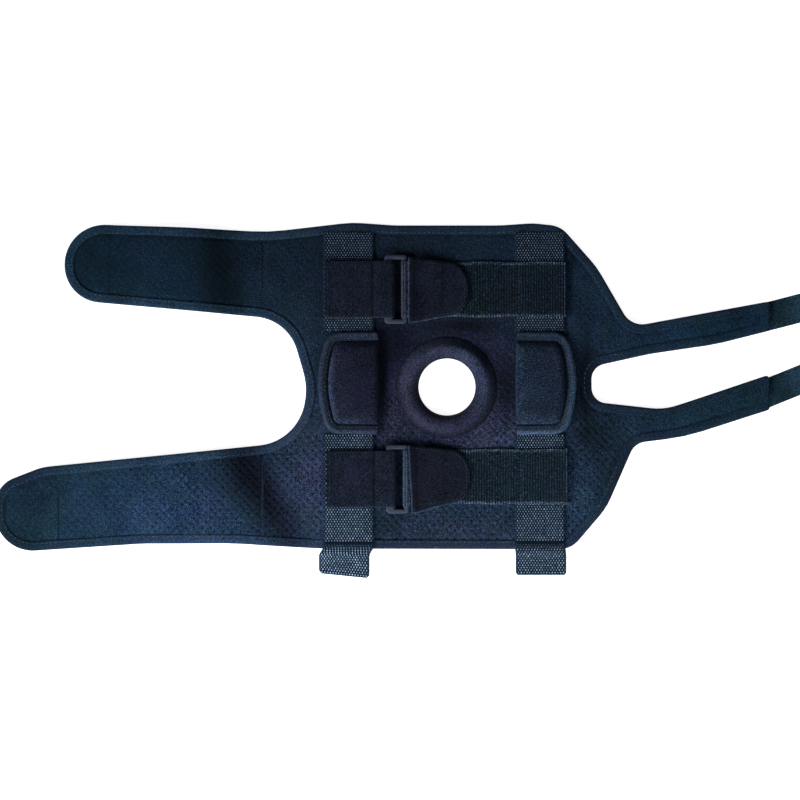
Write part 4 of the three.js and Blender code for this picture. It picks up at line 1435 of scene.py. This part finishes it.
class BRACE_OT_webbing(bpy.types.Operator):
    """Lay the four bands of webbing and weave their floats"""

    bl_idname = "brace.webbing"
    bl_label = "Webbing"

    def execute(self, context):
        sizes = context.scene.brace_sizes
        tree = woven_floats_tree(MATERIALS["float_yarn"])
        level = ON_PANEL + WEBBING["thick"] / 2 + 0.1
        for side, (end, lean, slope) in LOOP_ENDS.items():
            middle = WEBBING[side]
            low, high = ((corner[1] - HOLE_Y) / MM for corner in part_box(f"{side}_upper_webbing"))
            straight = np.array([(y, level) for y in np.arange(low, high, 1.0)])
            self.band(f"{side}_upper_webbing", straight, middle, tree, sizes, None)
            folded, skew = lower_webbing_path(end)[::-1], loop_skew(lean, slope, middle)
            self.band(f"{side}_lower_webbing", folded, middle, tree, sizes, skew)
        return {"FINISHED"}

    def band(self, name, path, middle, tree, sizes, skew):
        width, thick = WEBBING["width"], WEBBING["thick"]

        def selvedge(travel, across):
            return 0.18 * near(np.abs(across) - width / 2 + 1.6, 0.7)

        # Painted shade in the sunk stitch line by the hem; the outermost edges lighter.
        def tone(y, share):
            groove = 0.75 * near(y - LOOP["hem"] - LOOP["sewn"], 0.9)
            return 1 - groove + 1.5 * np.abs(share) ** 30

        widths = loop_half_width(path[:, 0])
        piece = strip(name, path, widths, thick, MATERIALS["webbing"], "y", middle, selvedge, skew, tone)
        finish_piece(piece, name)
        shown = path[path[:, 1] > thick] if skew else path
        grid, columns = float_grid(f"{name}_weave", shown, thick / 2, middle, sizes, skew)
        yarn = {label: size * MM for label, size in FLOAT.items()}
        weave = baked(grid, tree, {"Columns": columns, **yarn})
        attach(weave, "root")


# Side pads.


def pad_plan(side):
    """D-shaped plan of a side pad, clockwise, and which of its edges are free."""
    rows = [
        (PAD["inner"], PAD["top"], 3.0, False),
        (PAD["outer"] - 9, PAD["top"] - 0.5, 16.0, False),
        (PAD["outer"] + 1.8, PAD_MIDDLE, 105.0, False),
        (PAD["outer"] - 9, PAD["low"] + 0.5, 16.0, False),
        (PAD["inner"], PAD["low"], 3.0, True),
        (PAD["inner"] - 1.2, PAD_MIDDLE, 200.0, True),
    ]
    points = np.array([(side * x, y) for x, y, _, _ in rows])
    rounds = np.array([reach for _, _, reach, _ in rows])
    free = np.array([loose for _, _, _, loose in rows])
    if side < 0:
        points, rounds, free = points[::-1], rounds[::-1], np.roll(free[::-1], -1)
    return points, rounds, free


def sewn_sides(side, depths, clear):
    """Runs along a pad's three sewn sides at several depths, ending clear of its free edge."""
    points, rounds, free = pad_plan(side)
    step = 2.0
    outer = plan_run(points, rounds, 0.0, step)
    sewn = np.abs(outer[:, 0]) > PAD["inner"] + clear
    start = int(np.flatnonzero(sewn & ~np.roll(sewn, 1))[0])
    order = np.roll(np.arange(len(outer)), -start)[: int(sewn.sum())]
    return [plan_run(points, rounds, np.where(free, 0.0, depth), step)[order] for depth in depths]


def pad_ends(y):
    """Share of a pad's soft upper and lower ends, 0 along its middle."""
    half = (PAD["top"] - PAD["low"]) / 2
    return ease((np.abs(y - PAD_MIDDLE) / half - 0.55) / 0.25)


class BRACE_OT_pads(bpy.types.Operator):
    """Make the two padded side covers and their tape"""

    bl_idname = "brace.pads"
    bl_label = "Side pads"

    def execute(self, context):
        for name, pad in PADS.items():
            self.cover(f"{name}_side_pad", pad)
            self.tape(f"{name}_pad_binding", pad)
        return {"FINISHED"}

    def cover(self, name, pad):
        points, rounds, free = pad_plan(pad["side"])
        rings, tone_and_light = [], []
        for _, bound, loose, z, tone, fall, gain in PAD_ROWS:
            run = plan_run(points, rounds, np.where(free, loose, bound), 2.5)
            x, y = run.T
            ends = pad_ends(y)
            dent = 0.16 * np.sin(y / 5.3 + pad["side"]) + 0.12 * np.sin(x / 4.1 + y / 9)
            puffed = z > PAD["flange"] + 2.5
            rings.append(np.column_stack([run, z + dent * puffed * 0.8 - fall * ends]))
            # Painted light: each row's tone, changed on the slopes by how they face the low light from
            # the left, and at the pad's ends.
            away = run - run.mean(axis=0)
            facing = away @ np.array([-0.94, -0.33]) / np.linalg.norm(away, axis=1)
            slope = PAD["flange"] + 1 < z < PAD["crown"] - 0.6
            edge = np.where(facing > 0, pad["edge"], 0.6) if slope else 0.15
            light = tone * (1 + edge * facing) * (1 + gain * ends)
            tone_and_light.append(light[:, None] * np.array(pad["tone"]))
        piece = tube(name, np.stack(rings), MATERIALS["pad"], tone_and_light=np.stack(tone_and_light))
        finish_piece(piece, name)

    def tape(self, name, pad):
        clear = 0.8
        runs = sewn_sides(pad["side"], [depth for _, depth, _ in PAD_TAPE], clear)
        travel = travelled(sewn_sides(pad["side"], [0.0], clear)[0])
        rings = np.stack([at_height(run, z) for run, (_, _, z) in zip(runs, PAD_TAPE)], 1)
        uv = np.stack([at_height(travel, depth) for _, depth, _ in PAD_TAPE], 1)
        # Painted light across the tape: shade at its lip beside the groove, light over the roll, and
        # each pad's own crest, shoulder and wall; the lip less dark towards the pad's ends.
        crest, shoulder, wall = pad["ridge"]
        ridge = np.array([0.35, 0.5, 0.6, 0.95, 1.35, 1.5, crest, shoulder] + [wall] * 6)
        lip_gain = np.array([1.0, 0.7, 0.3] + [0] * (len(PAD_TAPE) - 3))
        y = rings[..., 1]
        light = np.interp(y, (PAD["low"], PAD_MIDDLE, PAD["top"]), pad["tape_light"]) * ridge
        light = light * (1 + lip_gain * pad_ends(y))
        tone_and_light = light[..., None] * np.array(pad["tape_tone"])
        piece = tube(name, rings, MATERIALS["binding"], uv, tone_and_light)
        finish_piece(piece, name)


# Straps.


def anchor_path():
    """Side view of a doubled strap: right under, round the buckle's bar and back over."""
    ply, mid, web = STRAP["ply"], BUCKLE["mid"], WEB_INNER["left"]
    bar = BUCKLE["left"] + BUCKLE_BARS["left"] / 2
    wide = BUCKLE_BARS["left"] / 2 + 0.4 + ply / 2
    tall = BUCKLE["thick"] / 2 + 0.3 + ply / 2
    low = STRAP_LEVEL["anchor"] + ply / 2
    high = low + ply + 0.15
    line = [(STRAP["anchor_left"], low), (web, low), (bar - wide, mid - tall + 0.5)]
    for t in np.linspace(-math.pi / 2, math.pi / 2, 9):
        line.append((bar + wide - 2.6 * (1 - math.cos(t)), mid + tall * math.sin(t)))
    line += [(bar - 3.4, mid + tall - 0.1), (web + 3, high + 0.9), (web - 1.4, high - 0.5)]
    line += [(web - 4.5, high), (web - 9, high + 0.1), (STRAP["anchor_left"], high)]
    return smoothed(line, 0.6, 2)


def elastic_path():
    """Side view of the elastic: off the right webbing, under the bar, over it and back."""
    ply, mid, web = STRAP["ply"], BUCKLE["mid"], WEB_INNER["right"]
    on_panel = ON_PANEL + ply / 2 + 0.1
    on_webbing, on_fold = on_panel + 2.1, on_panel + ply + 0.45
    bar = BUCKLE["right"] - BUCKLE_BARS["right"] / 2
    wide = BUCKLE_BARS["right"] / 2 + 0.3 + ply / 2
    tall = BUCKLE["thick"] / 2 + 0.3 + ply / 2
    line = [(STRAP["elastic_right"], on_webbing), (web - 1, on_webbing)]
    line += [(web - 11, on_panel), (bar + 2, on_panel)]
    for t in np.linspace(-math.pi / 2, math.pi / 2, 9):
        line.append((bar - wide * max(0.15, math.cos(t)), mid + tall * math.sin(t)))
    line += [(bar + 2.6, mid + tall - 0.1), (bar + 14, on_fold), (-9.0, on_fold)]
    return smoothed(line, 0.42, 2)


def tab_path():
    """Side view of the fastening tab, from over the bar down on to the elastic."""
    bar = BUCKLE["right"] - BUCKLE_BARS["right"] / 2
    half = TAB["thick"] / 2
    over = BUCKLE["mid"] + BUCKLE["thick"] / 2 + 2.3 + half
    fold, flat = STRAP_LEVEL["tab_fold"] + half, STRAP_LEVEL["tab_flat"] + half
    line = [(TAB["left"], over + 0.1), (bar + 4.5, over - 0.2), (bar + 15, fold)]
    line += [(-8, fold), (0, flat), (TAB["right"], flat)]
    return smoothed(line, 0.7, 3)


def tab_half_width(x):
    """Half width of the D-shaped tab at each place along it."""
    share = np.clip((x - TAB["left"]) / -TAB["left"], 0, 1)
    sides = TAB["left_half"] + (TAB["right_half"] - TAB["left_half"]) * share
    end = np.clip((TAB["right"] - x) / TAB["round"], 0, 1)
    corner = np.clip((x - TAB["left"]) / 1.6, 0, 1)
    return sides * (1 - (1 - end) ** 2.4) ** 0.5 - 1.2 * (1 - corner) ** 2


class BRACE_OT_straps(bpy.types.Operator):
    """Make both strap sets: doubled strap, buckle, elastic and fastening tab"""

    bl_idname = "brace.straps"
    bl_label = "Straps and buckles"

    def execute(self, context):
        for which, strap in STRAPS.items():
            self.anchor(f"{which}_anchor_strap", strap, f"{which}_buckle")
            self.buckle(f"{which}_buckle", strap)
            self.elastic(f"{which}_elastic_strap", strap)
            self.tab(f"{which}_fastening_tab", strap)
        return {"FINISHED"}

    def declare(self, piece, node, slot, path, width, rests_on):
        finish_piece(piece, node)

    def anchor(self, name, strap, buckle):
        path = anchor_path() + np.array([strap["shift"], 0])
        crease = WEB_INNER["left"] - 1.4 + strap["shift"]

        def dents(travel, across):
            return 0.07 * np.sin(travel / 2.9 + np.sin(across / 6.0) * 1.5) * np.cos(across / 7.5)

        # Painted shade along the crease where the strap turns back by the webbing; the outermost edges
        # lighter.
        def tone(x, share):
            light = 1.05 - 0.75 * near(x - crease, 1.1) + 1.2 * np.abs(share) ** 40
            return strap["anchor_light"] * light

        width, thick, y = STRAP["anchor"], STRAP["ply"] - 0.1, strap["y"] + strap["drop"]
        piece = strip(name, path, width / 2, thick, MATERIALS["strap"], "x", y, dents, tone_and_light=tone)
        self.declare(piece, name, "loop_strap", path, width, [buckle])

    def elastic(self, name, strap):
        y, shift = strap["y"], strap["shift"]
        path = elastic_path() + np.array([shift, 0])
        width, thick = STRAP["elastic"], STRAP["ply"] - 0.15
        wrap = BUCKLE["right"] - BUCKLE_BARS["right"] + shift
        seam, end = WEB_INNER["right"] + 4.6 + shift, STRAP["elastic_right"] - 1 + shift

        def ribs(travel, across):
            edge = 0.14 * near(np.abs(across) - width / 2 + 1.5, 0.6)
            return 0.06 * np.sin(travel * 2 * math.pi / 1.7) + edge

        def tone(x, share):
            wrapped = ease((wrap + 6 - x) / 4)
            pale = np.where(share < 0, 3.1, 3.2) * near(np.abs(share) - 0.95, 0.04) * (1 - wrapped)
            pale = pale + 0.9 * near(x - seam, 0.6) + 1.2 * near(x - end, 0.6)
            pale = pale[..., None] * np.array(SELVEDGE_TONE)
            # Round the bar the elastic is lighter, partly from its stretch and partly painted light on
            # that turn.
            stretched_and_lit = wrapped[..., None] * np.array(strap["wrap_tone"])
            level = strap["elastic_light"] * (0.9 + 0.15 * ease((x - seam + 0.5) / 1.5))
            smoother = np.broadcast_to(1 - 0.6 * wrapped[..., None], (*share.shape, 1))
            return np.concatenate([level[..., None] + pale + stretched_and_lit, smoother], axis=2)

        def follow(points):
            out = points.copy()
            out[..., 1] += strap["drop"] * 0.7 * ease((wrap + 12 - points[..., 0]) / 12)
            return out

        x = path[:, 0]
        widths = width / 2 + 0.4 * np.sin(x / 8.5 + y) + 1.3 * ease((wrap + 8 - x) / 8)
        piece = strip(name, path, widths, thick, MATERIALS["elastic"], "x", y, ribs, follow, tone)
        self.declare(piece, name, "elastic", path, width, ["body_panel"])

    def tab(self, name, strap):
        y, shift = strap["y"], strap["shift"]
        path = tab_path()
        widths = np.maximum(tab_half_width(path[:, 0]), 0.6)
        left = TAB["left"] + shift

        def dents(travel, across):
            return 0.09 * np.sin(travel / 4.1 + across / 8.0) * np.cos(across / 6.0 + travel / 11.0)

        # Painted highlights along the lower edge and on the left end, and painted shade in the fold just
        # inside that end.
        def tone(x, share):
            lit = 7 * np.clip(-share, 0, 1) ** 60 + 5 * near(x - left, 0.6)
            return strap["tab_light"] * (1 + lit - 0.35 * near(x - left - 4.6, 1.6))

        def hung(points):
            out = points.copy()
            free = 1 - ease((points[..., 0] - TAB["left"]) / 40)
            below = np.minimum(points[..., 1] - y, 0)
            out[..., 0] -= strap["lean"] * (points[..., 1] - y) * free
            out[..., 1] += strap["hang"] * below * free
            return out

        placed, thick = path + np.array([shift, 0]), TAB["thick"] - 0.2
        piece = strip(name, placed, widths, thick, MATERIALS["tab"], "x", y, dents, hung, tone)
        finish_piece(piece, name)

    def buckle(self, name, strap):
        half = BUCKLE["width"] / 2
        bars = np.array([BUCKLE_BARS[bar] for bar in ("sides", "right", "sides", "left")])
        corners = (("left", half), ("right", half), ("right", -half), ("left", -half))
        plan = np.array([(BUCKLE[end], y) for end, y in corners])
        turns = np.linspace(0, 2 * math.pi, 14, endpoint=False)
        over, up = (np.sign(wave) * np.abs(wave) ** 0.55 for wave in (np.cos(turns), np.sin(turns)))
        rings = []
        for depth, z in zip((1 - over) / 2, BUCKLE["mid"] + BUCKLE["thick"] / 2 * up):
            rings.append(at_height(plan_run(plan, np.full(4, BUCKLE["corner"]), bars * depth, 3.0), z))
        rings = np.stack(rings, 1) + np.array([strap["shift"], strap["y"] + strap["drop"], 0])
        piece = tube(name, rings, MATERIALS["buckle"], closed=True)
        finish_piece(piece, name)


# Hook tape.


class BRACE_OT_hook_tape(bpy.types.Operator):
    """Make the arm tabs and the hook patches under the wings"""

    bl_idname = "brace.hook_tape"
    bl_label = "Hook tape"

    def execute(self, context):
        for name, (x, y, turn) in ARM_TABS.items():
            self.arm_tab(name, x, y, math.radians(turn))
        for name, (side, end) in WING_HOOK.items():
            self.patch(name, side, end)
        return {"FINISHED"}

    def arm_tab(self, name, x, y, turn):
        half, thick, corner = ARM_TAB["width"] / 2, ARM_TAB["thick"], ARM_TAB["corner"]
        left = np.arange(ARM_TAB["free"] + ARM_TAB["under"], corner, -1.5)
        left = np.concatenate([left, [corner, 4, 3, 2, 1.2, 0.6, 0.2, 0]])
        path = at_height(ARM_TAB["free"] - left, thick / 2)
        widths = half - corner + np.sqrt(corner**2 - np.clip(corner - left, 0, corner) ** 2)
        c, s = math.cos(turn), math.sin(turn)

        def tone(local, share):
            return np.interp(local, *ARM_TAB_LIGHT) + 0 * share

        def placed(points):
            out = points.copy()
            out[..., :2] = points[..., :2] @ np.array([[c, s], [-s, c]]) + np.array([x, y])
            return out

        piece = strip(name, path, widths, thick - 0.1, MATERIALS["hook"], skew=placed, tone_and_light=tone)
        finish_piece(piece, name)

    def patch(self, name, side, end):
        run = outline_run(HOOK_INSET, 4.0)
        run = clipped(clipped(run, 1, LEG_GAP * side, side > 0), 0, end, False)
        inward = run.mean(axis=0) - run
        inward /= np.linalg.norm(inward, axis=1)[:, None]
        rows = ((0.3, 0.05), (0.0, 0.3), (0.0, HOOK_THICK - 0.3), (0.3, HOOK_THICK))
        rings = np.stack([at_height(run + depth * inward, z) for depth, z in rows])
        piece = tube(name, rings, MATERIALS["hook"], rings[..., :2], np.ones_like(rings))
        finish_piece(piece, name)


# Stitches.


def sew(name, paths, tree, thread, closed=False):
    """One piece of stitching over several lines of points."""
    points, edges = [], []
    for path in paths:
        start = len(points)
        points += to_frame(path).tolist()
        edges += [(start + k, start + k + 1) for k in range(len(path) - 1)]
        if closed:
            edges.append((start + len(path) - 1, start))
    mesh = bpy.data.meshes.new(name)
    mesh.from_pydata(points, edges, [])
    piece = baked(linked(name, mesh), tree, thread)
    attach(piece, "root")


def stitch(pitch, length, radius, swing=0.0):
    """Sizes of one kind of stitch, from millimetres and degrees."""
    sizes = {"Pitch": pitch * MM, "Length": length * MM, "Radius": radius * MM}
    return {**sizes, "Zigzag": math.radians(swing)}


def on_sheet(line, level):
    """A plan line laid on the face of the sheet."""
    return np.column_stack([line, lie(*line.T) + level * pressed(line[:, 0])])


class BRACE_OT_stitching(bpy.types.Operator):
    """Sew the tape, seams, webbing, pads, ring, straps and hook patches"""

    bl_idname = "brace.stitching"
    bl_label = "Stitching"

    def execute(self, context):
        sizes = context.scene.brace_sizes
        pale = stitch_tree("Tape Stitches", MATERIALS["thread"])
        dark = stitch_tree("Strap Stitches", MATERIALS["dark_thread"])
        sunk = stitch_tree("Patch Stitches", MATERIALS["patch_thread"])
        straight = stitch(sizes.stitch_pitch, sizes.stitch_length, sizes.thread_radius)
        fine = stitch(3.2, 2.3, 0.24)
        zigzag, wide_zigzag = stitch(1.9, 3.4, 0.2, 58), stitch(2.2, 4.4, 0.34, 68)
        before_arms, arms = (-math.inf, ARM_STITCHES[0]), ARM_STITCHES
        sew("binding_stitches", self.binding(*before_arms), pale, straight)
        sew("upper_seam_stitches", self.seam("upper"), dark, wide_zigzag)
        sew("lower_seam_stitches", self.seam("lower"), dark, zigzag)
        sew("webbing_stitches", self.webbing(), dark, fine)
        sew("pad_stitches", self.pads(), pale, fine)
        sew("ring_stitches", self.ring(), dark, fine, closed=True)
        sew("strap_stitches", self.straps(), dark, fine)
        sew("patch_stitches", self.patches(), sunk, straight)
        sew("arm_stitches", self.binding(*arms), sunk, straight)
        return {"FINISHED"}

    def binding(self, left, right):
        run = outline_run(BINDING["lip"] - BINDING["sewn"], BINDING["step"])
        shown = (run[:, 0] >= left) & (run[:, 0] < right)
        first = np.flatnonzero(shown & ~np.roll(shown, 1))[0]
        run, shown = np.roll(run, -first, axis=0), np.roll(shown, -first)
        parts = np.split(run, np.flatnonzero(shown[1:] != shown[:-1]) + 1)
        return [on_sheet(part, BINDING["high"]) for part in parts[::2]]

    def seam(self, which):
        return [on_sheet(upright(SEAM_X, *SEAM_ENDS[which]), PANEL["thick"] + 0.15)]

    def webbing(self):
        level = ON_PANEL + WEBBING["thick"] + 0.35
        inset_half = WEBBING["width"] / 2 - 2.4
        lines = []
        for x in (WEBBING[side] + edge * inset_half for side in ("left", "right") for edge in (-1, 1)):
            lines += [at_height(upright(x, *ends), level) for ends in WEBBING_SEWN]
        return lines

    def pads(self):
        depth, level, clear = PAD_SEWN
        sides = (sewn_sides(pad["side"], [depth], clear)[0] for pad in PADS.values())
        return [at_height(run, level) for run in sides]

    def ring(self):
        return [at_height(circle(RING["outer"] + 1.6, 140), PANEL["thick"] + 0.2)]

    def straps(self):
        lines = []
        for strap in STRAPS.values():
            y, shift, low = strap["y"], strap["shift"], strap["y"] + strap["drop"]
            left, right = STRAP["anchor_left"] + shift, STRAP["elastic_right"] + shift
            web = WEB_INNER["right"] + shift
            half = STRAP["anchor"] / 2 - 2
            for x in (left + 2.2, left + 8):
                lines.append(at_height(upright(x, low - half, low + half), STRAP_SEWN["anchor"]))
            half = STRAP["elastic"] / 2 - 2
            for x in (web + 3, right - 3):
                lines.append(at_height(upright(x, y - half, y + half), STRAP_SEWN["elastic"]))
            xs = np.linspace(TAB["left"] + 3, TAB["right"] - 3, 60)
            path = tab_path()
            z = np.interp(xs, path[:, 0], path[:, 1]) + TAB["thick"] / 2
            edge = np.maximum(tab_half_width(np.minimum(xs + 1.2, TAB["right"])) - 2.6, 0.2)
            upper, lower = (np.column_stack([xs + shift, y + reach, z]) for reach in (edge, -edge))
            lines.append(np.concatenate([upper, lower[::-1]]))
        return lines

    def patches(self):
        level = PANEL["thick"] + 0.2
        left, right, y = PATCH_EDGE
        low_edge = np.array([(x, y) for x in np.arange(left, right, 2.0)])
        upper_end = upright(WING_HOOK["upper_wing_hook"][1] + 0.5, *PATCH_END)
        return [
            on_sheet(upright(*PATCH_SEAM), level - 0.5),
            on_sheet(low_edge, level),
            on_sheet(upper_end, level),
        ]


# Stage.


class BRACE_OT_stage(bpy.types.Operator):
    """Set the floor, the lights and the camera"""

    bl_idname = "brace.stage"
    bl_label = "Stage"

    def execute(self, context):
        stage = context.scene.brace_stage
        scale = PHOTO["mm_per_pixel"] * MM
        right, down = (PHOTO["pixels"] / 2 - place for place in PHOTO["hole_px"])
        aim = Vector((HOLE_X + right * scale, HOLE_Y - down * scale, PANEL["thick"] * MM))
        self.floor(aim, stage.floor_glow)
        self.camera(aim, stage.camera_height, PHOTO["pixels"] * scale)
        self.lamp("key", aim, (-0.04, -0.36, 0.27), (1.0, 0.2), stage.key_power)
        self.window(aim, (-1.0, -0.35, 0.55), stage.window_power)
        self.lamp("fill", aim, (0.4, 0.3, 1.9), (1.6, 1.6), stage.fill_power)
        world = bpy.data.worlds.new("studio")
        world.use_nodes = True
        sky = world.node_tree.nodes["Background"]
        sky.inputs["Color"].default_value = (0.86, 0.93, 1.0, 1)
        sky.inputs["Strength"].default_value = 0.035
        context.scene.world = world
        context.scene.view_settings.view_transform = "Standard"
        return {"FINISHED"}

    def floor(self, aim, glow):
        half, level = 20.0, -0.2 * MM
        square = [(-half, -half), (half, -half), (half, half), (-half, half)]
        mesh = bpy.data.meshes.new("floor")
        mesh.from_pydata([(aim.x + x, aim.y + y, level) for x, y in square], [], [(0, 1, 2, 3)])
        material, _, shader = new_material("pale_floor")
        shader.inputs["Base Color"].default_value = (0.9, 0.9, 0.9, 1)
        shader.inputs["Roughness"].default_value = 0.9
        shader.inputs["Emission Color"].default_value = (1, 1, 1, 1)
        shader.inputs["Emission Strength"].default_value = glow
        mesh.materials.append(material)
        linked("floor", mesh)

    def camera(self, aim, height, span):
        lens = bpy.data.cameras.new("photo_camera")
        lens.sensor_fit = "HORIZONTAL"
        lens.angle = 2 * math.atan(span / 2 / height)
        camera = linked("photo_camera", lens)
        camera.location = (aim.x, aim.y, aim.z + height)
        bpy.context.scene.camera = camera

    def window(self, aim, direction, power):
        light = bpy.data.lights.new("window", "SUN")
        light.energy = power
        light.angle = math.radians(20)
        lamp = linked("window", light)
        lamp.location = aim + Vector(direction)
        lamp.rotation_euler = Vector(direction).to_track_quat("Z", "Y").to_euler()

    def lamp(self, name, aim, offset, size, power):
        light = bpy.data.lights.new(name, "AREA")
        light.shape = "RECTANGLE"
        light.size, light.size_y = size
        light.energy = power
        lamp = linked(name, light)
        lamp.location = aim + Vector(offset)
        lamp.rotation_euler = (aim - lamp.location).to_track_quat("-Z", "Y").to_euler()
        lamp.visible_camera = False


class BRACE_PT_sidebar(bpy.types.Panel):
    """Lists the steps that make the brace"""

    bl_idname = "BRACE_PT_sidebar"
    bl_label = "Knee Brace"
    bl_space_type = "VIEW_3D"
    bl_region_type = "UI"
    bl_category = "Knee Brace"

    def draw(self, context):
        for step in STEPS:
            self.layout.operator(step.bl_idname)
        for group in ("brace_sizes", "brace_colours", "brace_stage"):
            settings = getattr(context.scene, group)
            for label in settings.__annotations__:
                self.layout.prop(settings, label)


STEPS = (
    BRACE_OT_stage,
    BRACE_OT_panels,
    BRACE_OT_binding,
    BRACE_OT_ring,
    BRACE_OT_webbing,
    BRACE_OT_pads,
    BRACE_OT_straps,
    BRACE_OT_hook_tape,
    BRACE_OT_stitching,
)
SETTINGS = {"brace_sizes": BraceSizes, "brace_colours": BraceColours, "brace_stage": BraceStage}


def register():
    for kind in (*SETTINGS.values(), *STEPS, BRACE_PT_sidebar):
        bpy.utils.register_class(kind)
    for name, kind in SETTINGS.items():
        setattr(bpy.types.Scene, name, PointerProperty(type=kind))


def unregister():
    for name in SETTINGS:
        delattr(bpy.types.Scene, name)
    for kind in (BRACE_PT_sidebar, *reversed(STEPS), *SETTINGS.values()):
        bpy.utils.unregister_class(kind)


def main():
    register()
    build_materials()
    for step in STEPS:
        group, name = step.bl_idname.split(".")
        getattr(getattr(bpy.ops, group), name)()


if __name__ == "__main__":
    main()
